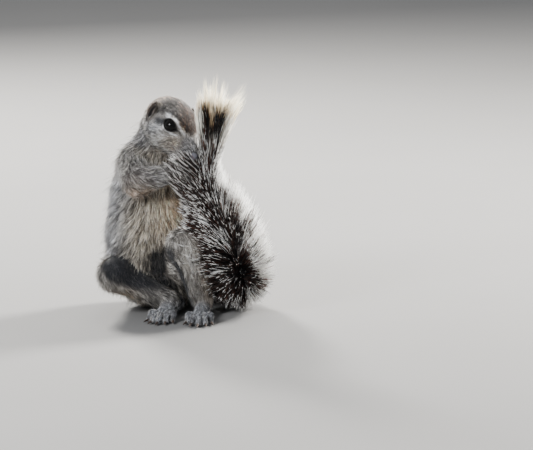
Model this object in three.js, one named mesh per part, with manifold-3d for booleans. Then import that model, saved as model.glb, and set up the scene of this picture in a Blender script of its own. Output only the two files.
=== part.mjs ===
import * as THREE from 'three';
import { mergeVertices } from 'three/addons/utils/BufferGeometryUtils.js';
import Module from 'manifold-3d';

// A Cape ground squirrel sitting on its haunches, head bent round to groom its
// own tail, which comes forward past its left side and stands up in front of
// its left shoulder. The outline is the outside of the coat. Millimetres, the
// animal faces -Y, its left is +X, and the origin is under its rump.

const wasm = await Module();
wasm.setup();

// [sizes]
// landmarks, mm: X to the animal's left, Y to its back, Z up
const LANDMARKS = {
  "pelvis": [0.0, 0.0, 29.1], "belly": [-1.9, -14.1, 58.1], "chest": [-2.8, -15.9, 91.9],
  "withers": [0.0, -13.1, 113.4], "nape_low": [-0.9, -14.1, 116.2], "nape_high": [5.6, -24.4, 136.9],
  "shoulder_r": [-15.9, -24.4, 112.5], "elbow_r": [-14.1, -49.7, 103.1], "wrist_r": [9.4, -61.9, 110.8],
  "palm_r": [19.7, -64.2, 110.2], "shoulder_l": [20.6, -22.5, 112.5], "elbow_l": [31.9, -37.5, 92.8],
  "wrist_l": [30.5, -41.2, 105.0], "palm_l": [34.2, -43.6, 112.0], "hip_r": [-15.0, -3.8, 33.8],
  "knee_r": [-30.9, -38.4, 31.9], "ankle_r": [6.6, -34.7, 12.2], "heel_r": [13.1, -23.4, 7.0],
  "ball_r": [4.7, -56.2, 5.2], "hip_l": [15.9, -3.8, 34.7], "knee_l": [20.6, -48.8, 55.3],
  "ankle_l": [31.9, -34.7, 14.1], "heel_l": [34.7, -27.2, 7.0], "ball_l": [31.9, -63.8, 5.2],
};
const HEAD_AT = [12.1, -33.8, 143.3];
const HEAD_FORWARD = [0.473, -0.801, -0.367];
const HEAD_UP = [0.404, -0.173, 0.898];
// trunk: part, centre, radii, blend, coat depth
const TRUNK = [
  ["trunk_lower", "pelvis", [34.69, 32.81, 30.94], 0.0, 4.5],
  ["trunk_lower", "belly", [38.44, 32.81, 32.81], 20.62, 4.5],
  ["trunk_upper", "chest", [32.81, 29.06, 30.0], 20.62, 4.31],
  ["trunk_upper", "withers", [23.44, 21.56, 17.81], 15.0, 3.75],
];
// limbs and neck: part, from, radius, to, radius, blend, coat depth at each end
const LIMBS = [
  ["neck", "nape_low", 21.56, "nape_high", 19.22, 12.19, 3.56, 2.81],
  ["upper_arm_r", "shoulder_r", 14.53, "elbow_r", 11.72, 8.44, 3.0, 2.44],
  ["forearm_r", "elbow_r", 11.25, "wrist_r", 7.97, 4.69, 2.44, 1.5],
  ["hand_r", "wrist_r", 7.5, "palm_r", 6.38, 2.81, 1.41, 0.84],
  ["upper_arm_l", "shoulder_l", 14.53, "elbow_l", 11.72, 8.44, 3.0, 2.44],
  ["forearm_l", "elbow_l", 11.25, "wrist_l", 7.97, 4.69, 2.44, 1.5],
  ["hand_l", "wrist_l", 7.5, "palm_l", 6.38, 2.81, 1.41, 0.84],
  ["thigh_r", "hip_r", 24.38, "knee_r", 14.06, 7.5, 3.75, 2.81],
  ["shank_r", "knee_r", 13.12, "ankle_r", 8.91, 4.69, 2.62, 1.5],
  ["foot_r", "heel_r", 7.03, "ball_r", 5.81, 3.75, 1.12, 0.75],
  ["thigh_l", "hip_l", 25.31, "knee_l", 13.59, 7.5, 3.75, 2.81],
  ["shank_l", "knee_l", 13.59, "ankle_l", 9.84, 4.69, 2.62, 1.5],
  ["foot_l", "heel_l", 7.03, "ball_l", 5.81, 3.75, 1.12, 0.75],
];
// head, in its own frame (forward, left, up): centre, radii, blend, coat depth
const HEAD_BLOBS = [
  [[-4.69, 0.0, 0.47], [21.09, 19.22, 18.28], 8.44, 1.59],
  [[7.97, 0.0, 3.0], [16.41, 16.41, 12.94], 6.56, 1.22],
  [[2.81, 9.38, -7.5], [15.0, 10.78, 11.25], 5.62, 1.69],
  [[2.81, -9.38, -7.5], [15.0, 10.78, 11.25], 5.62, 1.69],
  [[30.0, 4.31, -10.12], [7.03, 5.62, 5.44], 3.28, 0.75],
  [[30.0, -4.31, -10.12], [7.03, 5.62, 5.44], 3.28, 0.75],
  [[35.62, 0.0, -7.69], [4.41, 4.59, 4.03], 2.34, 0.38],
];
// head: from, radius, to, radius, blend, coat depth at each end
const HEAD_CONES = [
  [[9.38, 0.0, -3.28], 13.69, [30.47, 0.0, -7.69], 9.09, 5.62, 1.22, 0.75],
  [[-3.75, 0.0, -11.25], 9.38, [25.31, 0.0, -14.06], 5.06, 4.69, 1.69, 0.94],
];
// hand: forward, across, fingers
const HANDS = {
  "hand_r": {"forward": [0.95, 0.25, -0.15], "across": [0.1, 0.25, 0.96]},
  "hand_l": {"forward": [0.42, -0.66, 0.62], "across": [0.75, 0.65, 0.1]},
};
const TOE = {"count": 5, "spread": 3.09, "length": 14.06, "root": 3.09, "tip": 2.16, "fan": 0.16, "rise": 1.31};
const FINGER = {"count": 4, "spread": 2.91, "length": 11.25, "root": 2.44, "tip": 1.78, "fan": 0.15, "rise": 1.12};
const CLAW = {"length": 7.5, "radius": 1.08, "drop": 1.5};
// the tail's line: point, radius of the hair, radius of the flesh
const TAIL = [
  [[1.9, 26.2, 15.9], 15.94, 7.97],
  [[29.1, 30.9, 15.0], 15.94, 6.56],
  [[53.4, 17.8, 16.9], 18.75, 5.91],
  [[61.9, -3.8, 22.5], 23.44, 5.44],
  [[59.1, -25.3, 33.8], 30.0, 5.06],
  [[52.5, -39.4, 56.2], 31.88, 4.69],
  [[44.1, -48.8, 78.8], 28.12, 4.31],
  [[37.5, -55.3, 96.6], 20.62, 3.94],
  [[38.0, -58.1, 111.6], 10.78, 3.66],
  [[39.4, -59.1, 127.5], 8.91, 3.28],
  [[41.2, -58.1, 140.6], 11.25, 2.91],
  [[44.5, -56.2, 152.8], 17.34, 2.44],
  [[46.9, -54.4, 163.1], 18.75, 0.0],
];
// eye, ear and nose, in the head's frame
const EYE = {"at": [14.06, 11.16, 4.5], "radius": 5.62};
const EAR = {"at": [-7.03, 17.53, 4.22], "radii": [3.75, 2.16, 6.56], "turn": -5};
const NOSE = {"at": [38.44, 0.0, -6.38], "radii": [2.34, 3.09, 2.53]};
// [end of sizes]

// ---- how finely each part is made: grid step and number of triangles ----
const CUT = 0.8;              // gap where two parts of the body meet
const TAIL_GAP = 0.9;         // gap between the tail's hair and the body
const HAND_GAP = 1.6;         // and round the hands that hold it
const TAIL_BLEND = 5.6;
const PIECES = {
  head: [1.5, 1250], neck: [2.2, 300],
  trunk_upper: [2.4, 620], trunk_lower: [2.4, 700],
  upper_arm_r: [1.8, 220], forearm_r: [1.6, 240], hand_r: [1.1, 380],
  upper_arm_l: [1.8, 220], forearm_l: [1.6, 240], hand_l: [1.1, 380],
  thigh_r: [2.2, 260], shank_r: [1.8, 220], foot_r: [1.2, 590],
  thigh_l: [2.2, 260], shank_l: [1.8, 220], foot_l: [1.2, 590],
  tail_1: [2.2, 260], tail_2: [2.6, 300], tail_3: [2.6, 340], tail_4: [2.0, 320], tail_5: [1.8, 260],
};

// ---- small vector helpers on plain arrays ----
const add = (a, b, s = 1) => [a[0] + b[0] * s, a[1] + b[1] * s, a[2] + b[2] * s];
const sub = (a, b) => [a[0] - b[0], a[1] - b[1], a[2] - b[2]];
const dot = (a, b) => a[0] * b[0] + a[1] * b[1] + a[2] * b[2];
const cross = (a, b) => [a[1] * b[2] - a[2] * b[1], a[2] * b[0] - a[0] * b[2], a[0] * b[1] - a[1] * b[0]];
const len = (a) => Math.hypot(a[0], a[1], a[2]);
const unit = (a) => { const l = len(a); return [a[0] / l, a[1] / l, a[2] / l]; };
const at = (p) => (typeof p === 'string' ? LANDMARKS[p] : p);

// ---- the head's own frame ----
const HF = unit(HEAD_FORWARD);
const HU = unit(add(HEAD_UP, HF, -dot(HEAD_UP, HF)));
const HL = cross(HU, HF);
const headDir = (p) => [0, 1, 2].map((i) => HF[i] * p[0] + HL[i] * p[1] + HU[i] * p[2]);
const headPoint = (p) => add(HEAD_AT, headDir(p));

// ---- solids as signed distances ----
const WORLD = [[1, 0, 0], [0, 1, 0], [0, 0, 1]];
function ellipsoid(part, c, r, k, axes = WORLD) {
  const [ax, ay, az] = axes;
  const d = (x, y, z) => {
    const px = x - c[0], py = y - c[1], pz = z - c[2];
    const u = (px * ax[0] + py * ax[1] + pz * ax[2]) / r[0];
    const v = (px * ay[0] + py * ay[1] + pz * ay[2]) / r[1];
    const w = (px * az[0] + py * az[1] + pz * az[2]) / r[2];
    const k0 = Math.sqrt(u * u + v * v + w * w);
    const k1 = Math.sqrt((u / r[0]) ** 2 + (v / r[1]) ** 2 + (w / r[2]) ** 2) + 1e-9;
    return k0 * (k0 - 1) / k1;
  };
  return { part, k, d, centre: c, reach: Math.max(...r) };
}
function cone(part, a, ra, b, rb, k) {
  const bx = b[0] - a[0], by = b[1] - a[1], bz = b[2] - a[2], l2 = bx * bx + by * by + bz * bz;
  const d = (x, y, z) => {
    const px = x - a[0], py = y - a[1], pz = z - a[2];
    const t = Math.min(1, Math.max(0, (px * bx + py * by + pz * bz) / l2));
    return Math.hypot(px - t * bx, py - t * by, pz - t * bz) - (ra + (rb - ra) * t);
  };
  return { part, k, d, centre: add(a, [bx, by, bz], 0.5), reach: Math.sqrt(l2) / 2 + Math.max(ra, rb) };
}
const smin = (a, b, k) => {
  if (k <= 0) return Math.min(a, b);
  const h = Math.max(k - Math.abs(a - b), 0) / k;
  return Math.min(a, b) - h * h * k * 0.25;
};
const blend = (list) => (x, y, z) => {
  let f = list[0].d(x, y, z);
  for (let i = 1; i < list.length; i++) f = smin(f, list[i].d(x, y, z), list[i].k);
  return f;
};
const nearest = (list) => (x, y, z) => {
  let f = Infinity;
  for (const q of list) f = Math.min(f, q.d(x, y, z));
  return f;
};

// ---- toes and fingers: root, knuckle and tip of each ----
function digits(base, d, l, up, o) {
  const out = [];
  for (let i = 0; i < o.count; i++) {
    const s = i - (o.count - 1) / 2;
    const w = 1 - 0.4 * s * s / (o.count - 1);
    const dd = unit(add(d, l, s * o.fan));
    const a = add(add(base, l, s * o.spread), d, -1.4 * Math.abs(s));
    const m = add(add(a, dd, o.length * 0.55 * w), up, o.rise);
    const t = add(add(a, dd, o.length * w), up, -(o.rise + 0.94));
    out.push({ a, m, t, dd });
  }
  return out;
}
function footDigits(side) {
  const b = at('ball_' + side), h = at('heel_' + side);
  const d = unit([b[0] - h[0], b[1] - h[1], 0]);
  const out = digits(add(b, [0, 0, -0.47]), d, cross([0, 0, 1], d), [0, 0, 1], TOE);
  for (const q of out) q.t[2] = TOE.tip - 0.14;
  return out;
}
function handDigits(part) {
  const h = HANDS[part], d = unit(h.forward), l = unit(add(h.across, d, -dot(h.across, d)));
  return digits(at('palm_' + part.at(-1)), d, l, cross(d, l), FINGER);
}
const DIGITS = {
  foot_r: [footDigits('r'), TOE], foot_l: [footDigits('l'), TOE],
  hand_r: [handDigits('hand_r'), FINGER], hand_l: [handDigits('hand_l'), FINGER],
};

// ---- the whole body and the whole tail ----
const BODY = [
  ...TRUNK.map(([part, c, r, k]) => ellipsoid(part, at(c), r, k)),
  ...LIMBS.map(([part, a, ra, b, rb, k]) => cone(part, at(a), ra, at(b), rb, k)),
];
for (const [part, [digs, o]] of Object.entries(DIGITS)) {
  for (const q of digs) {
    BODY.push(cone(part, q.a, o.root, q.m, o.root * 0.9, 1.5), cone(part, q.m, o.root * 0.9, q.t, o.tip, 1.1));
  }
}
BODY.push(...HEAD_CONES.map(([a, ra, b, rb, k]) => cone('head', headPoint(a), ra, headPoint(b), rb, k)));
BODY.push(...HEAD_BLOBS.map(([c, r, k]) => ellipsoid('head', headPoint(c), r, k, [HF, HL, HU])));
const TAIL_LINE = TAIL.slice(1).map(([b, rb], i) => cone('tail', TAIL[i][0], TAIL[i][1], b, rb, i ? (i < 7 ? TAIL_BLEND : 2.8) : 0));
const bodyField = blend(BODY);
const tailField = blend(TAIL_LINE);

// ---- eyes, ears and nose, let into the head ----
const EARS = {}, EYES = {};
for (const [side, s] of [['r', -1], ['l', 1]]) {
  const e = headPoint([EYE.at[0], EYE.at[1] * s, EYE.at[2]]);
  EYES['eye_' + side] = { at: e, d: (x, y, z) => Math.hypot(x - e[0], y - e[1], z - e[2]) - EYE.radius };
  const turn = THREE.MathUtils.degToRad(EAR.turn), c = Math.cos(turn), n = Math.sin(turn);
  const axes = [headDir([c, 0, n]), headDir([0, s, 0]), headDir([-n, 0, c])];
  const o = headPoint([EAR.at[0], EAR.at[1] * s, EAR.at[2]]);
  EARS['ear_' + side] = { at: o, axes, ...ellipsoid('ear', o, EAR.radii, 0, axes) };
}
const NOSE_AT = headPoint(NOSE.at);
const NOSE_SOLID = ellipsoid('nose', NOSE_AT, NOSE.radii, 0, [HF, HL, HU]);
const INSETS = [...Object.values(EYES), ...Object.values(EARS), NOSE_SOLID];

// ---- where one part ends and the next begins ----
const GROUPS = {
  arm_r: ['upper_arm_r', 'forearm_r', 'hand_r'], arm_l: ['upper_arm_l', 'forearm_l', 'hand_l'],
  leg_r: ['thigh_r', 'shank_r', 'foot_r'], leg_l: ['thigh_l', 'shank_l', 'foot_l'],
  core: ['head', 'neck', 'trunk_upper', 'trunk_lower'],
};
const groupOf = {};
const groupField = {};
for (const [g, names] of Object.entries(GROUPS)) {
  for (const n of names) groupOf[n] = g;
  groupField[g] = nearest(BODY.filter((q) => names.includes(q.part)));
}
const footField = {};
for (const s of ['r', 'l']) {
  footField[s] = {
    foot: nearest(BODY.filter((q) => q.part === 'foot_' + s)),
    leg: nearest(BODY.filter((q) => q.part === 'shank_' + s || q.part === 'thigh_' + s)),
  };
}
// a flat cut through a point, square to a direction; negative behind it
const plane = (p, n) => { const u = unit(n), k = dot(p, u); return (x, y, z) => x * u[0] + y * u[1] + z * u[2] - k; };
const mid = (a, b, t) => add(a, sub(b, a), t);
const bend = (a, b, c) => plane(at(b), add(unit(sub(at(b), at(a))), unit(sub(at(c), at(b)))));
const NECK_TOP = plane(mid(at('nape_high'), HEAD_AT, -0.15), sub(HEAD_AT, at('nape_low')));
const NECK_FOOT = plane(add(at('nape_low'), [0, -3, 4]), [0.1, -0.25, 0.96]);
const WAIST = plane(mid(at('belly'), at('chest'), 0.55), sub(at('chest'), at('belly')));
const neg = (f) => (x, y, z) => -f(x, y, z);
const SIDES = {   // each part lies on the negative side of its cuts
  head: [neg(NECK_TOP)], neck: [NECK_TOP, neg(NECK_FOOT)],
  trunk_upper: [NECK_FOOT, neg(WAIST)], trunk_lower: [WAIST],
};
for (const s of ['r', 'l']) {
  const elbow = bend('shoulder_' + s, 'elbow_' + s, 'wrist_' + s);
  const wrist = plane(at('wrist_' + s), sub(at('palm_' + s), at('elbow_' + s)));
  const knee = bend('hip_' + s, 'knee_' + s, 'ankle_' + s);
  const ankle = (x, y, z) => (footField[s].leg(x, y, z) - footField[s].foot(x, y, z)) / 2;
  SIDES['upper_arm_' + s] = [elbow];
  SIDES['forearm_' + s] = [neg(elbow), wrist];
  SIDES['hand_' + s] = [neg(elbow), neg(wrist)];
  SIDES['thigh_' + s] = [knee, ankle];
  SIDES['shank_' + s] = [neg(knee), ankle];
  SIDES['foot_' + s] = [neg(ankle)];
}
const tailCut = (i) => plane(TAIL[i][0], add(unit(sub(TAIL[i][0], TAIL[i - 1][0])), unit(sub(TAIL[i + 1][0], TAIL[i][0]))));
const TAIL_CUTS = [tailCut(2), tailCut(4), tailCut(6), tailCut(8)];
TAIL_CUTS.forEach((cut, i) => {
  (SIDES['tail_' + (i + 1)] ??= []).push(cut);
  SIDES['tail_' + (i + 2)] = [neg(cut)];
});

// the difference of two distances, brought back to millimetres
function difference(a, b) {
  const f = (x, y, z) => a(x, y, z) - b(x, y, z);
  return (x, y, z) => {
    const v = f(x, y, z);
    if (Math.abs(v) > 4) return v / 2;
    const e = 0.5;
    const g = Math.hypot(f(x + e, y, z) - v, f(x, y + e, z) - v, f(x, y, z + e) - v) / e;
    return v / Math.max(g, 0.35);
  };
}
const regions = {};
for (const g of Object.keys(GROUPS)) {
  const others = Object.keys(GROUPS).filter((h) => h !== g).map((h) => groupField[h]);
  regions[g] = difference(groupField[g], (x, y, z) => Math.min(...others.map((h) => h(x, y, z))));
}
const handField = nearest(BODY.filter((q) => q.part in HANDS));
function pieceField(name) {
  const sides = SIDES[name];
  if (name.startsWith('tail')) {
    return (x, y, z) => {
      let f = Math.max(tailField(x, y, z), -z);
      if (f > 6) return f;
      f = Math.max(f, TAIL_GAP - bodyField(x, y, z), HAND_GAP - handField(x, y, z));
      for (const s of sides) f = Math.max(f, s(x, y, z) + CUT / 2);
      for (const q of INSETS) f = Math.max(f, TAIL_GAP - q.d(x, y, z));
      return f;
    };
  }
  const region = regions[groupOf[name]];
  return (x, y, z) => {
    let f = Math.max(bodyField(x, y, z), -z);
    if (f > 6) return f;
    for (const s of sides) f = Math.max(f, s(x, y, z) + CUT / 2);
    if (name === 'head') for (const q of INSETS) f = Math.max(f, CUT - q.d(x, y, z));
    return f > 6 ? f : Math.max(f, region(x, y, z) + CUT / 2);
  };
}

// ---- a closed mesh of a distance field: each cell of a grid is split into
// six tetrahedra, and the surface crosses each of them in one or two facets ----
const ORDERS = [[1, 2, 4], [1, 4, 2], [2, 1, 4], [2, 4, 1], [4, 1, 2], [4, 2, 1]];
function contour(field, lo, hi, h) {
  const n = lo.map((v, i) => Math.ceil((hi[i] - v) / h) + 1);
  const F = new Float32Array(n[0] * n[1] * n[2]);
  const id = (i, j, k) => (i * n[1] + j) * n[2] + k;
  for (let i = 0; i < n[0]; i++) for (let j = 0; j < n[1]; j++) for (let k = 0; k < n[2]; k++) {
    const v = field(lo[0] + i * h, lo[1] + j * h, lo[2] + k * h);
    F[id(i, j, k)] = Math.abs(v) < 1e-4 ? 1e-4 : v;
  }
  const P = [], T = [], known = new Map();
  const corner = (i, j, k, c) => [i + (c & 1), j + ((c >> 1) & 1), k + ((c >> 2) & 1)];
  const edge = (a, b, da) => {           // a is the lower corner, da the step's bits
    const ia = id(...a), key = ia * 8 + da;
    let v = known.get(key);
    if (v === undefined) {
      const fa = F[ia], fb = F[id(...b)], t = Math.min(0.96, Math.max(0.04, fa / (fa - fb)));
      v = P.length / 3;
      P.push(...[0, 1, 2].map((q) => lo[q] + (a[q] + (b[q] - a[q]) * t) * h));
      known.set(key, v);
    }
    return v;
  };
  for (let i = 0; i < n[0] - 1; i++) for (let j = 0; j < n[1] - 1; j++) for (let k = 0; k < n[2] - 1; k++) {
    const s0 = F[id(i, j, k)] < 0;
    let mixed = false;
    for (let c = 1; c < 8 && !mixed; c++) mixed = (F[id(...corner(i, j, k, c))] < 0) !== s0;
    if (!mixed) continue;
    for (const o of ORDERS) {
      const code = [0, o[0], o[0] | o[1], 7];
      const v = code.map((c) => corner(i, j, k, c));
      const inside = v.map((c) => F[id(...c)] < 0);
      const ins = [0, 1, 2, 3].filter((q) => inside[q]), out = [0, 1, 2, 3].filter((q) => !inside[q]);
      if (!ins.length || !out.length) continue;
      const e = (p, q) => (p < q ? edge(v[p], v[q], code[q] ^ code[p]) : edge(v[q], v[p], code[p] ^ code[q]));
      let loop;
      if (ins.length === 1) loop = out.map((q) => e(ins[0], q));
      else if (out.length === 1) loop = ins.map((q) => e(q, out[0]));
      else loop = [e(ins[0], out[0]), e(ins[0], out[1]), e(ins[1], out[1]), e(ins[1], out[0])];
      const p = loop.map((q) => P.slice(q * 3, q * 3 + 3));
      const mean = (list) => list.reduce((s, q) => add(s, v[q], 1 / list.length), [0, 0, 0]);
      const turn = dot(cross(sub(p[1], p[0]), sub(p[2], p[0])), sub(mean(out), mean(ins)));
      if (turn < 0) loop.reverse();
      T.push(loop[0], loop[1], loop[2]);
      if (loop.length === 4) T.push(loop[0], loop[2], loop[3]);
    }
  }
  // each corner is moved on to the surface itself
  const e = 0.15;
  for (let step = 0; step < 3; step++) {
    for (let q = 0; q < P.length; q += 3) {
      const [x, y, z] = [P[q], P[q + 1], P[q + 2]], f = field(x, y, z);
      const g = [field(x + e, y, z) - f, field(x, y + e, z) - f, field(x, y, z + e) - f].map((v) => v / e);
      const m = Math.max(dot(g, g), 0.3), s = Math.max(-h * 0.3, Math.min(h * 0.3, f)) / m;
      P[q] -= g[0] * s; P[q + 1] -= g[1] * s; P[q + 2] -= g[2] * s;
    }
  }
  return largest(P, T);
}

// the largest connected piece of a mesh
function largest(P, T) {
  const up = Array.from({ length: P.length / 3 }, (_, i) => i);
  const find = (i) => { while (up[i] !== i) i = up[i] = up[up[i]]; return i; };
  for (let t = 0; t < T.length; t += 3) {
    up[find(T[t])] = find(T[t + 1]);
    up[find(T[t + 1])] = find(T[t + 2]);
  }
  const count = new Map();
  for (let t = 0; t < T.length; t += 3) { const r = find(T[t]); count.set(r, (count.get(r) ?? 0) + 1); }
  const best = [...count.entries()].sort((a, b) => b[1] - a[1])[0][0];
  const to = new Map(), Q = [], U = [];
  for (let t = 0; t < T.length; t += 3) {
    if (find(T[t]) !== best) continue;
    for (let c = 0; c < 3; c++) {
      const v = T[t + c];
      if (!to.has(v)) { to.set(v, Q.length / 3); Q.push(P[v * 3], P[v * 3 + 1], P[v * 3 + 2]); }
      U.push(to.get(v));
    }
  }
  return [Q, U];
}

// ---- fewer facets where the form is smooth: edges are drawn together in
// order of how little that changes the surface ----
function decimate(P, T, target) {
  const nv = P.length / 3, nt = T.length / 3;
  const Q = new Float64Array(nv * 10), stamp = new Int32Array(nv), dead = new Uint8Array(nt), gone = new Uint8Array(nv);
  const vt = Array.from({ length: nv }, () => []);
  const pt = (i) => [P[i * 3], P[i * 3 + 1], P[i * 3 + 2]];
  const normal = (a, b, c) => cross(sub(b, a), sub(c, a));
  for (let t = 0; t < nt; t++) {
    const v = [T[t * 3], T[t * 3 + 1], T[t * 3 + 2]], p = v.map(pt);
    const m = normal(...p), l = len(m);
    for (const i of v) vt[i].push(t);
    if (l < 1e-9) continue;
    const [a, b, c] = m.map((x) => x / l), d = -dot([a, b, c], p[0]), w = l / 2;
    const q = [a * a, a * b, a * c, a * d, b * b, b * c, b * d, c * c, c * d, d * d];
    for (const i of v) for (let s = 0; s < 10; s++) Q[i * 10 + s] += q[s] * w;
  }
  const heap = [];
  const push = (x) => {
    heap.push(x);
    let i = heap.length - 1;
    while (i) { const u = (i - 1) >> 1; if (heap[u][0] <= heap[i][0]) break; [heap[u], heap[i]] = [heap[i], heap[u]]; i = u; }
  };
  const pop = () => {
    const top = heap[0], last = heap.pop();
    if (heap.length) {
      heap[0] = last;
      for (let i = 0; ;) {
        const l = i * 2 + 1, r = l + 1;
        let s = i;
        if (l < heap.length && heap[l][0] < heap[s][0]) s = l;
        if (r < heap.length && heap[r][0] < heap[s][0]) s = r;
        if (s === i) break;
        [heap[s], heap[i]] = [heap[i], heap[s]]; i = s;
      }
    }
    return top;
  };
  const consider = (a, b) => {
    const q = [];
    for (let s = 0; s < 10; s++) q.push(Q[a * 10 + s] + Q[b * 10 + s]);
    const pa = pt(a), pb = pt(b), l2 = dot(sub(pa, pb), sub(pa, pb));
    const m = [(pa[0] + pb[0]) / 2, (pa[1] + pb[1]) / 2, (pa[2] + pb[2]) / 2];
    const cost = (x) => q[0] * x[0] * x[0] + 2 * q[1] * x[0] * x[1] + 2 * q[2] * x[0] * x[2] + 2 * q[3] * x[0]
      + q[4] * x[1] * x[1] + 2 * q[5] * x[1] * x[2] + 2 * q[6] * x[1] + q[7] * x[2] * x[2] + 2 * q[8] * x[2] + q[9];
    const r = 1e-3 * (q[0] + q[4] + q[7]) + 1e-9;      // a little pull to the middle keeps it steady
    const A = [[q[0] + r, q[1], q[2]], [q[1], q[4] + r, q[5]], [q[2], q[5], q[7] + r]];
    const B = [-q[3] + r * m[0], -q[6] + r * m[1], -q[8] + r * m[2]];
    const det = dot(A[0], cross(A[1], A[2]));
    let best = m;
    if (Math.abs(det) > 1e-12) {
      const x = [0, 1, 2].map((c) => {
        const M = A.map((row, i) => row.map((v, j) => (j === c ? B[i] : v)));
        return dot(M[0], cross(M[1], M[2])) / det;
      });
      if (len(sub(x, m)) < 1.2 * Math.sqrt(l2) + 0.05) best = x;
    }
    let c = Infinity;
    for (const x of [best, m, pa, pb]) { const v = Math.max(cost(x), 0); if (v < c) { c = v; best = x; } }
    push([c + 2e-4 * l2 * Math.sqrt(l2), a, b, stamp[a], stamp[b], best]);
  };
  for (let t = 0; t < nt; t++) for (let c = 0; c < 3; c++) {
    const a = T[t * 3 + c], b = T[t * 3 + (c + 1) % 3];
    if (a < b) consider(a, b);
  }
  const ring = (i) => {
    const s = new Set();
    for (const t of vt[i]) for (let c = 0; c < 3; c++) s.add(T[t * 3 + c]);
    s.delete(i);
    return s;
  };
  let left = nt;
  while (left > target && heap.length) {
    const [, a, b, sa, sb, x] = pop();
    if (gone[a] || gone[b] || stamp[a] !== sa || stamp[b] !== sb) continue;
    const ra = ring(a), rb = ring(b);
    let common = 0;
    for (const i of ra) if (rb.has(i)) common++;
    if (common !== 2 || ra.size + rb.size < 8) continue;
    let ok = true;
    for (const [i, o] of [[a, b], [b, a]]) {
      for (const t of vt[i]) {
        const v = [T[t * 3], T[t * 3 + 1], T[t * 3 + 2]];
        if (v.includes(o)) continue;
        const p = v.map(pt), before = normal(...p);
        const after = normal(...v.map((j, c) => (j === i ? x : p[c])));
        const lb = len(before), la = len(after);
        const longest = Math.max(...v.map((j, c) => { const e = v[(c + 1) % 3]; return len(sub(j === i ? x : pt(j), e === i ? x : pt(e))); }));
        if (la < 0.02 * longest * longest || (lb > 1e-6 && dot(before, after) < 0.35 * la * lb)) { ok = false; break; }
      }
      if (!ok) break;
    }
    if (!ok) continue;
    for (const t of vt[b]) {
      const c = [0, 1, 2].find((q) => T[t * 3 + q] === b);
      if ([T[t * 3], T[t * 3 + 1], T[t * 3 + 2]].includes(a)) { dead[t] = 1; left--; } else { T[t * 3 + c] = a; vt[a].push(t); }
    }
    for (const i of new Set([a, ...rb])) if (i !== b) vt[i] = vt[i].filter((t) => !dead[t]);
    gone[b] = 1; vt[b] = [];
    P[a * 3] = x[0]; P[a * 3 + 1] = x[1]; P[a * 3 + 2] = x[2];
    for (let s = 0; s < 10; s++) Q[a * 10 + s] += Q[b * 10 + s];
    stamp[a]++;
    for (const i of ring(a)) consider(Math.min(a, i), Math.max(a, i));
  }
  const to = new Map(), R = [], U = [];
  for (let t = 0; t < nt; t++) {
    if (dead[t]) continue;
    for (let c = 0; c < 3; c++) {
      const v = T[t * 3 + c];
      if (!to.has(v)) { to.set(v, R.length / 3); R.push(P[v * 3], P[v * 3 + 1], P[v * 3 + 2]); }
      U.push(to.get(v));
    }
  }
  return [R, U];
}

// ---- solids and back ----
function solidOf(P, T) {
  return new wasm.Manifold(new wasm.Mesh({ numProp: 3, vertProperties: Float32Array.from(P), triVerts: Uint32Array.from(T) }));
}
function solidFrom(geometry) {
  const g = geometry.clone();
  g.deleteAttribute('normal'); g.deleteAttribute('uv');
  const m = mergeVertices(g, 1e-4);
  return solidOf(m.attributes.position.array, m.index.array);
}
function geometryOf(solid) {
  const m = solid.getMesh(), g = new THREE.BufferGeometry();
  const P = new Float32Array(m.numVert * 3);
  for (let i = 0; i < m.numVert; i++) for (let c = 0; c < 3; c++) P[i * 3 + c] = m.vertProperties[i * m.numProp + c];
  g.setAttribute('position', new THREE.BufferAttribute(P, 3));
  g.setIndex([...m.triVerts]);
  g.computeVertexNormals();
  return g;
}

// ---- the box that each part is looked for in ----
function boxOf(name) {
  const list = name.startsWith('tail') ? TAIL_LINE : BODY.filter((q) => GROUPS[groupOf[name]].includes(q.part));
  const sides = SIDES[name];
  const lo = [Infinity, Infinity, Infinity], hi = [-Infinity, -Infinity, -Infinity];
  for (const q of list) {
    if (sides.every((s) => s(...q.centre) > q.reach + 8)) continue;
    for (let i = 0; i < 3; i++) { lo[i] = Math.min(lo[i], q.centre[i] - q.reach - 4); hi[i] = Math.max(hi[i], q.centre[i] + q.reach + 4); }
  }
  lo[2] = Math.max(lo[2], -4);
  return [lo, hi];
}
// trimmed to where the part really is, with a coarse look first
function tightBox(field, lo, hi) {
  const h = 4, a = [Infinity, Infinity, Infinity], b = [-Infinity, -Infinity, -Infinity];
  for (let x = lo[0]; x <= hi[0]; x += h) for (let y = lo[1]; y <= hi[1]; y += h) for (let z = lo[2]; z <= hi[2]; z += h) {
    if (field(x, y, z) > h) continue;
    [x, y, z].forEach((v, i) => { a[i] = Math.min(a[i], v - h * 1.5); b[i] = Math.max(b[i], v + h * 1.5); });
  }
  return [a, b];
}

const group = new THREE.Group();
const COAT = {
  head: 0xa08d78, neck: 0xa8947c, trunk_upper: 0xc9bba6, trunk_lower: 0xcbbfae,
  arm: 0x9a8a78, leg: 0xa89a88, foot: 0x9d9184, hand: 0x9d9184, tail: 0x6d5c50,
};
const looks = {};
function look(color, roughness) {
  return (looks[color + '/' + roughness] ??= new THREE.MeshStandardMaterial({ color, roughness, metalness: 0 }));
}
const place = (name, geometry, material) => {
  const mesh = new THREE.Mesh(geometry, material);
  mesh.name = name;
  group.add(mesh);
  return mesh;
};

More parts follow.
